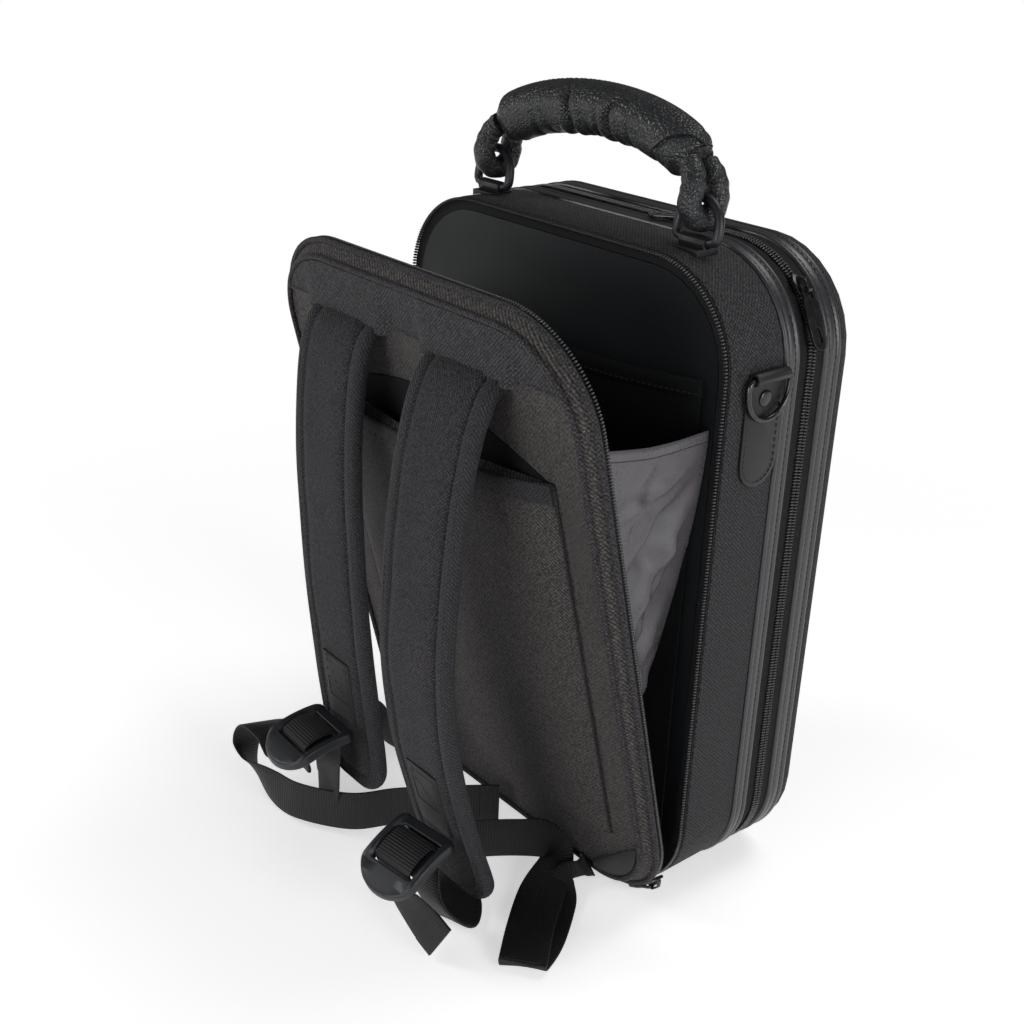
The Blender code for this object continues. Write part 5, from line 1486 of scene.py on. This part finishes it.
def makeStrapTabs():
    for side in ("left", "right"):
        node = "strap_tab_" + side
        centres, wides, halves = stripFrames(node)
        piece = loftPiece("strap_patch_" + side, tapeRows(centres, wides, halves, patch["thick"]))
        smoothBy(piece, 60)
        finish(piece, webTape, "strap_" + side, "webbing", node)
        if centres[0].z < centres[-1].z:
            centres.reverse()
            wides.reverse()
        spots = []
        inset, first, last, steps = (patch[key] for key in ("inset", "first", "last", "steps"))
        lastIndex = len(centres) - 1

        def surface(along, across):
            place = along * lastIndex
            index = min(int(place), lastIndex - 1)
            point = centres[index].lerp(centres[index + 1], place - index)
            ahead = frameAt(centres, index)
            face = ahead.cross(rightWay).normalized()
            if face.y > 0:
                face = -face
            return point + Vector((across, 0.0, 0.0)) + face * patch["out"], face

        corners = [(first, -inset), (first, inset), (last, inset), (last, -inset), (first, -inset),
                   (last, inset), (last, -inset), (first, inset)]
        for (a, b), (c, d) in zip(corners, corners[1:]):
            for k in range(steps):
                share = (k + 0.5) / steps
                here, face = surface(a + (c - a) * share, b + (d - b) * share)
                share = min(1.0, share + 0.05)
                ahead, _ = surface(a + (c - a) * share, b + (d - b) * share)
                spots.append((here, (ahead - here).normalized(), face))
        stitchRow("patch_stitch_" + side, spots, "strap_" + side)


tail = {"longer": {"left": 0.0, "right": 0.0085}, "thick": 0.0015, "hem": 0.0110, "hemThick": 0.0022}


def makeWebbing():
    for side in ("left", "right"):
        node = "webbing_" + side
        centres, wides, halves = stripFrames(node)
        if centres[0].y > centres[-1].y:
            centres.reverse()
            wides.reverse()
            halves.reverse()
        way = (centres[0] - centres[4]).normalized()
        for step in range(1, 5):
            centres.insert(0, centres[0] + way * tail["longer"][side] / 4)
            wides.insert(0, wides[0])
            halves.insert(0, halves[0])
        if tail["longer"][side] == 0:
            centres, wides, halves = centres[4:], wides[4:], halves[4:]
        piece = loftPiece("web_" + side, tapeRows(centres, wides, halves, tail["thick"]))
        gone = 0.0
        last = 1
        while gone < tail["hem"]:
            gone += (centres[last] - centres[last - 1]).length
            last += 1
        doubled = tapeRows(centres[:last], wides[:last], halves[:last], tail["hemThick"])
        hem = loftPiece("web_hem_" + side, doubled)
        for thing in (piece, hem):
            smoothBy(thing, 60)
            thing.data.materials.append(webTape)
            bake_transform(thing)
        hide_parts(node)


lock = {"tilt": {"left": 11.0, "right": 23.0}, "turn": {"left": -3.0, "right": 7.0}, "half": 0.019,
        "near": -0.018, "shoulder": 0.0115, "tongue": 0.0135, "corner": 0.005, "slot": 0.0034,
        "slotHalf": 0.0139, "slotAt": 0.010, "thick": 0.0046, "edge": 0.0010, "arch": 7.0, "rail": 0.0017}


def lockMatrix(side):
    # X across the adjuster, Y away from the strap, Z out of its upper face
    tilt = math.radians(lock["tilt"][side])
    turn = math.radians(lock["turn"][side])
    along = Vector((math.sin(turn) * math.cos(tilt), -math.cos(turn) * math.cos(tilt), -math.sin(tilt)))
    across = along.cross(upWay).normalized()
    out = across.cross(along).normalized()
    turned = Matrix((across, along, out)).transposed()
    spots = [turned.inverted() @ corner.co for corner in frame["nodes"]["ladder_lock_" + side].data.vertices]
    x = (min(spot.x for spot in spots) + max(spot.x for spot in spots)) / 2
    y = min(spot.y for spot in spots) - lock["near"]
    z = max(spot.z for spot in spots) - lock["thick"] / 2
    return Matrix.Translation(turned @ Vector((x, y, z))) @ turned.to_4x4()


def flatPiece(name, loops, thick, edge):
    # A flat outline with holes, made thick with rounded rims
    shape = bpy.data.curves.new(name, "CURVE")
    shape.dimensions = "2D"
    shape.fill_mode = "BOTH"
    shape.offset = -edge
    shape.extrude = thick / 2 - edge
    shape.bevel_depth = edge
    shape.bevel_resolution = 2
    for loop in loops:
        spline = shape.splines.new("POLY")
        spline.points.add(len(loop) - 1)
        for point, (x, y) in zip(spline.points, loop):
            point.co = (x, y, 0.0, 1.0)
        spline.use_cyclic_u = True
    thing = bpy.data.objects.new(name, shape)
    bpy.context.scene.collection.objects.link(thing)
    pickUp(thing)
    bpy.ops.object.convert(target="MESH")
    thing = bpy.context.object
    bpy.ops.object.mode_set(mode="EDIT")
    bpy.ops.mesh.select_all(action="SELECT")
    bpy.ops.mesh.remove_doubles(threshold=0.00001)
    bpy.ops.mesh.normals_make_consistent(inside=False)
    bpy.ops.object.mode_set(mode="OBJECT")
    return thing


def turnPoints(x, y, wide, deep, first, last, steps=10):
    return [(x + wide * math.cos(math.radians(a)), y + deep * math.sin(math.radians(a)))
            for a in (first + (last - first) * step / steps for step in range(steps + 1))]


def makeLocks():
    # A moulded ladder-lock: raised side rails, narrow slots and a rounded tongue that curls down
    half = lock["half"]
    corner = lock["corner"]
    outline = turnPoints(half - corner, lock["near"] + corner, corner, corner, -90, 0)
    outline += turnPoints(0.0, lock["shoulder"], half, lock["tongue"], 0, 180, 28)
    outline += turnPoints(corner - half, lock["near"] + corner, corner, corner, 180, 270)
    loops = [outline]
    for place in (-lock["slotAt"], lock["slotAt"]):
        small = lock["slot"] * 0.35
        wide = lock["slotHalf"] - small
        tall = lock["slot"] / 2 - small
        loops.append(turnPoints(wide, place - tall, small, small, -90, 0, 3)
                     + turnPoints(wide, place + tall, small, small, 0, 90, 3)
                     + turnPoints(-wide, place + tall, small, small, 90, 180, 3)
                     + turnPoints(-wide, place - tall, small, small, 180, 270, 3))
    for side in ("left", "right"):
        piece = flatPiece("lock_" + side, loops, lock["thick"], lock["edge"])
        sliceAt(piece, backWay, spread(-0.0165, 0.0235, 0.0020))
        sliceAt(piece, rightWay, (-0.0160, -0.0143, -0.007, 0.0, 0.007, 0.0143, 0.0160))
        for spot in piece.data.vertices:
            x, y, z = spot.co
            if z > 0:
                z += lock["rail"] * easeIn(abs(x), 0.0143, 0.0160) * (1 - easeIn(y, 0.013, 0.021))
            spot.co.z = z - lock["arch"] * y * y
        piece.data.transform(lockMatrix(side))
        smoothBy(piece, 40)
        finish(piece, glossBlack, "strap_" + side, "gloss_plastic", "ladder_lock_" + side)


# Cloth hinges

hinge = {"gather": 0.0005, "step": 0.0032}


def makeHinges():
    # Gathered cloth rolls along the hinges, between the two halves they join
    for node, name, other, along, start, stop in (
            ("hinge_gore", "hinge_roll", "lid", "z", (-0.1215, 0.0262, 0.174), (-0.1215, 0.0328, 0.174)),
            ("flap_hinge", "flap_roll", "flap", "x", (0.0, -0.0282, 0.0044), (0.0, -0.0323, 0.0044))):
        piece = takeCopy(node, name)
        way = rightWay if along == "x" else upWay
        first, last = getattr(low(node), along), getattr(high(node), along)
        sliceAt(piece, way, spread(first + 0.002, last - 0.002, hinge["step"]))
        middle = (low(node) + high(node)) / 2
        for spot in piece.data.vertices:
            place = getattr(spot.co, along)
            away = spot.co - middle
            away -= way * away.dot(way)
            gather = noise.noise(Vector((place * 210, 0.0, 2.0))) + 0.6 * math.sin(place * 1900)
            spot.co -= away.normalized() * hinge["gather"] * (0.5 + 0.5 * gather)
        smoothBy(piece, 60)
        piece.data.materials.append(clothBlack)
        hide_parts(node)
        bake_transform(piece)


makeCamera()
makeLamps()
makeStage()
print("camera, lamps and floor set")
for name, body in (("body", "case"), ("lid", "lid")):
    dressSolid(name + "_shell", body + "_cloth", body, clothBlack, "oxford_cloth", (0.0012, 2, 30), 40)
makeBand("body_band", "band_case", "case")
makeBand("lid_band", "band_lid", "lid")
makeMainZip()
makePocketZip()
print("shells, bands and zips made")
makeInsert()
makePocketLining()
makeDocumentPocket()
print("linings made")
makeFlapFront()
makePipings()
makeYoke()
makeStowPocket()
makeCornerTabs()
makeGussets()
print("flap made")
makeGrip()
makeHandleLoops()
makeHandleFittings()
makeSideFittings()
makeSliders()
print("handle, rings and sliders made")
makeStrapPads()
makeStrapTabs()
makeWebbing()
makeLocks()
makeHinges()
print("straps made")
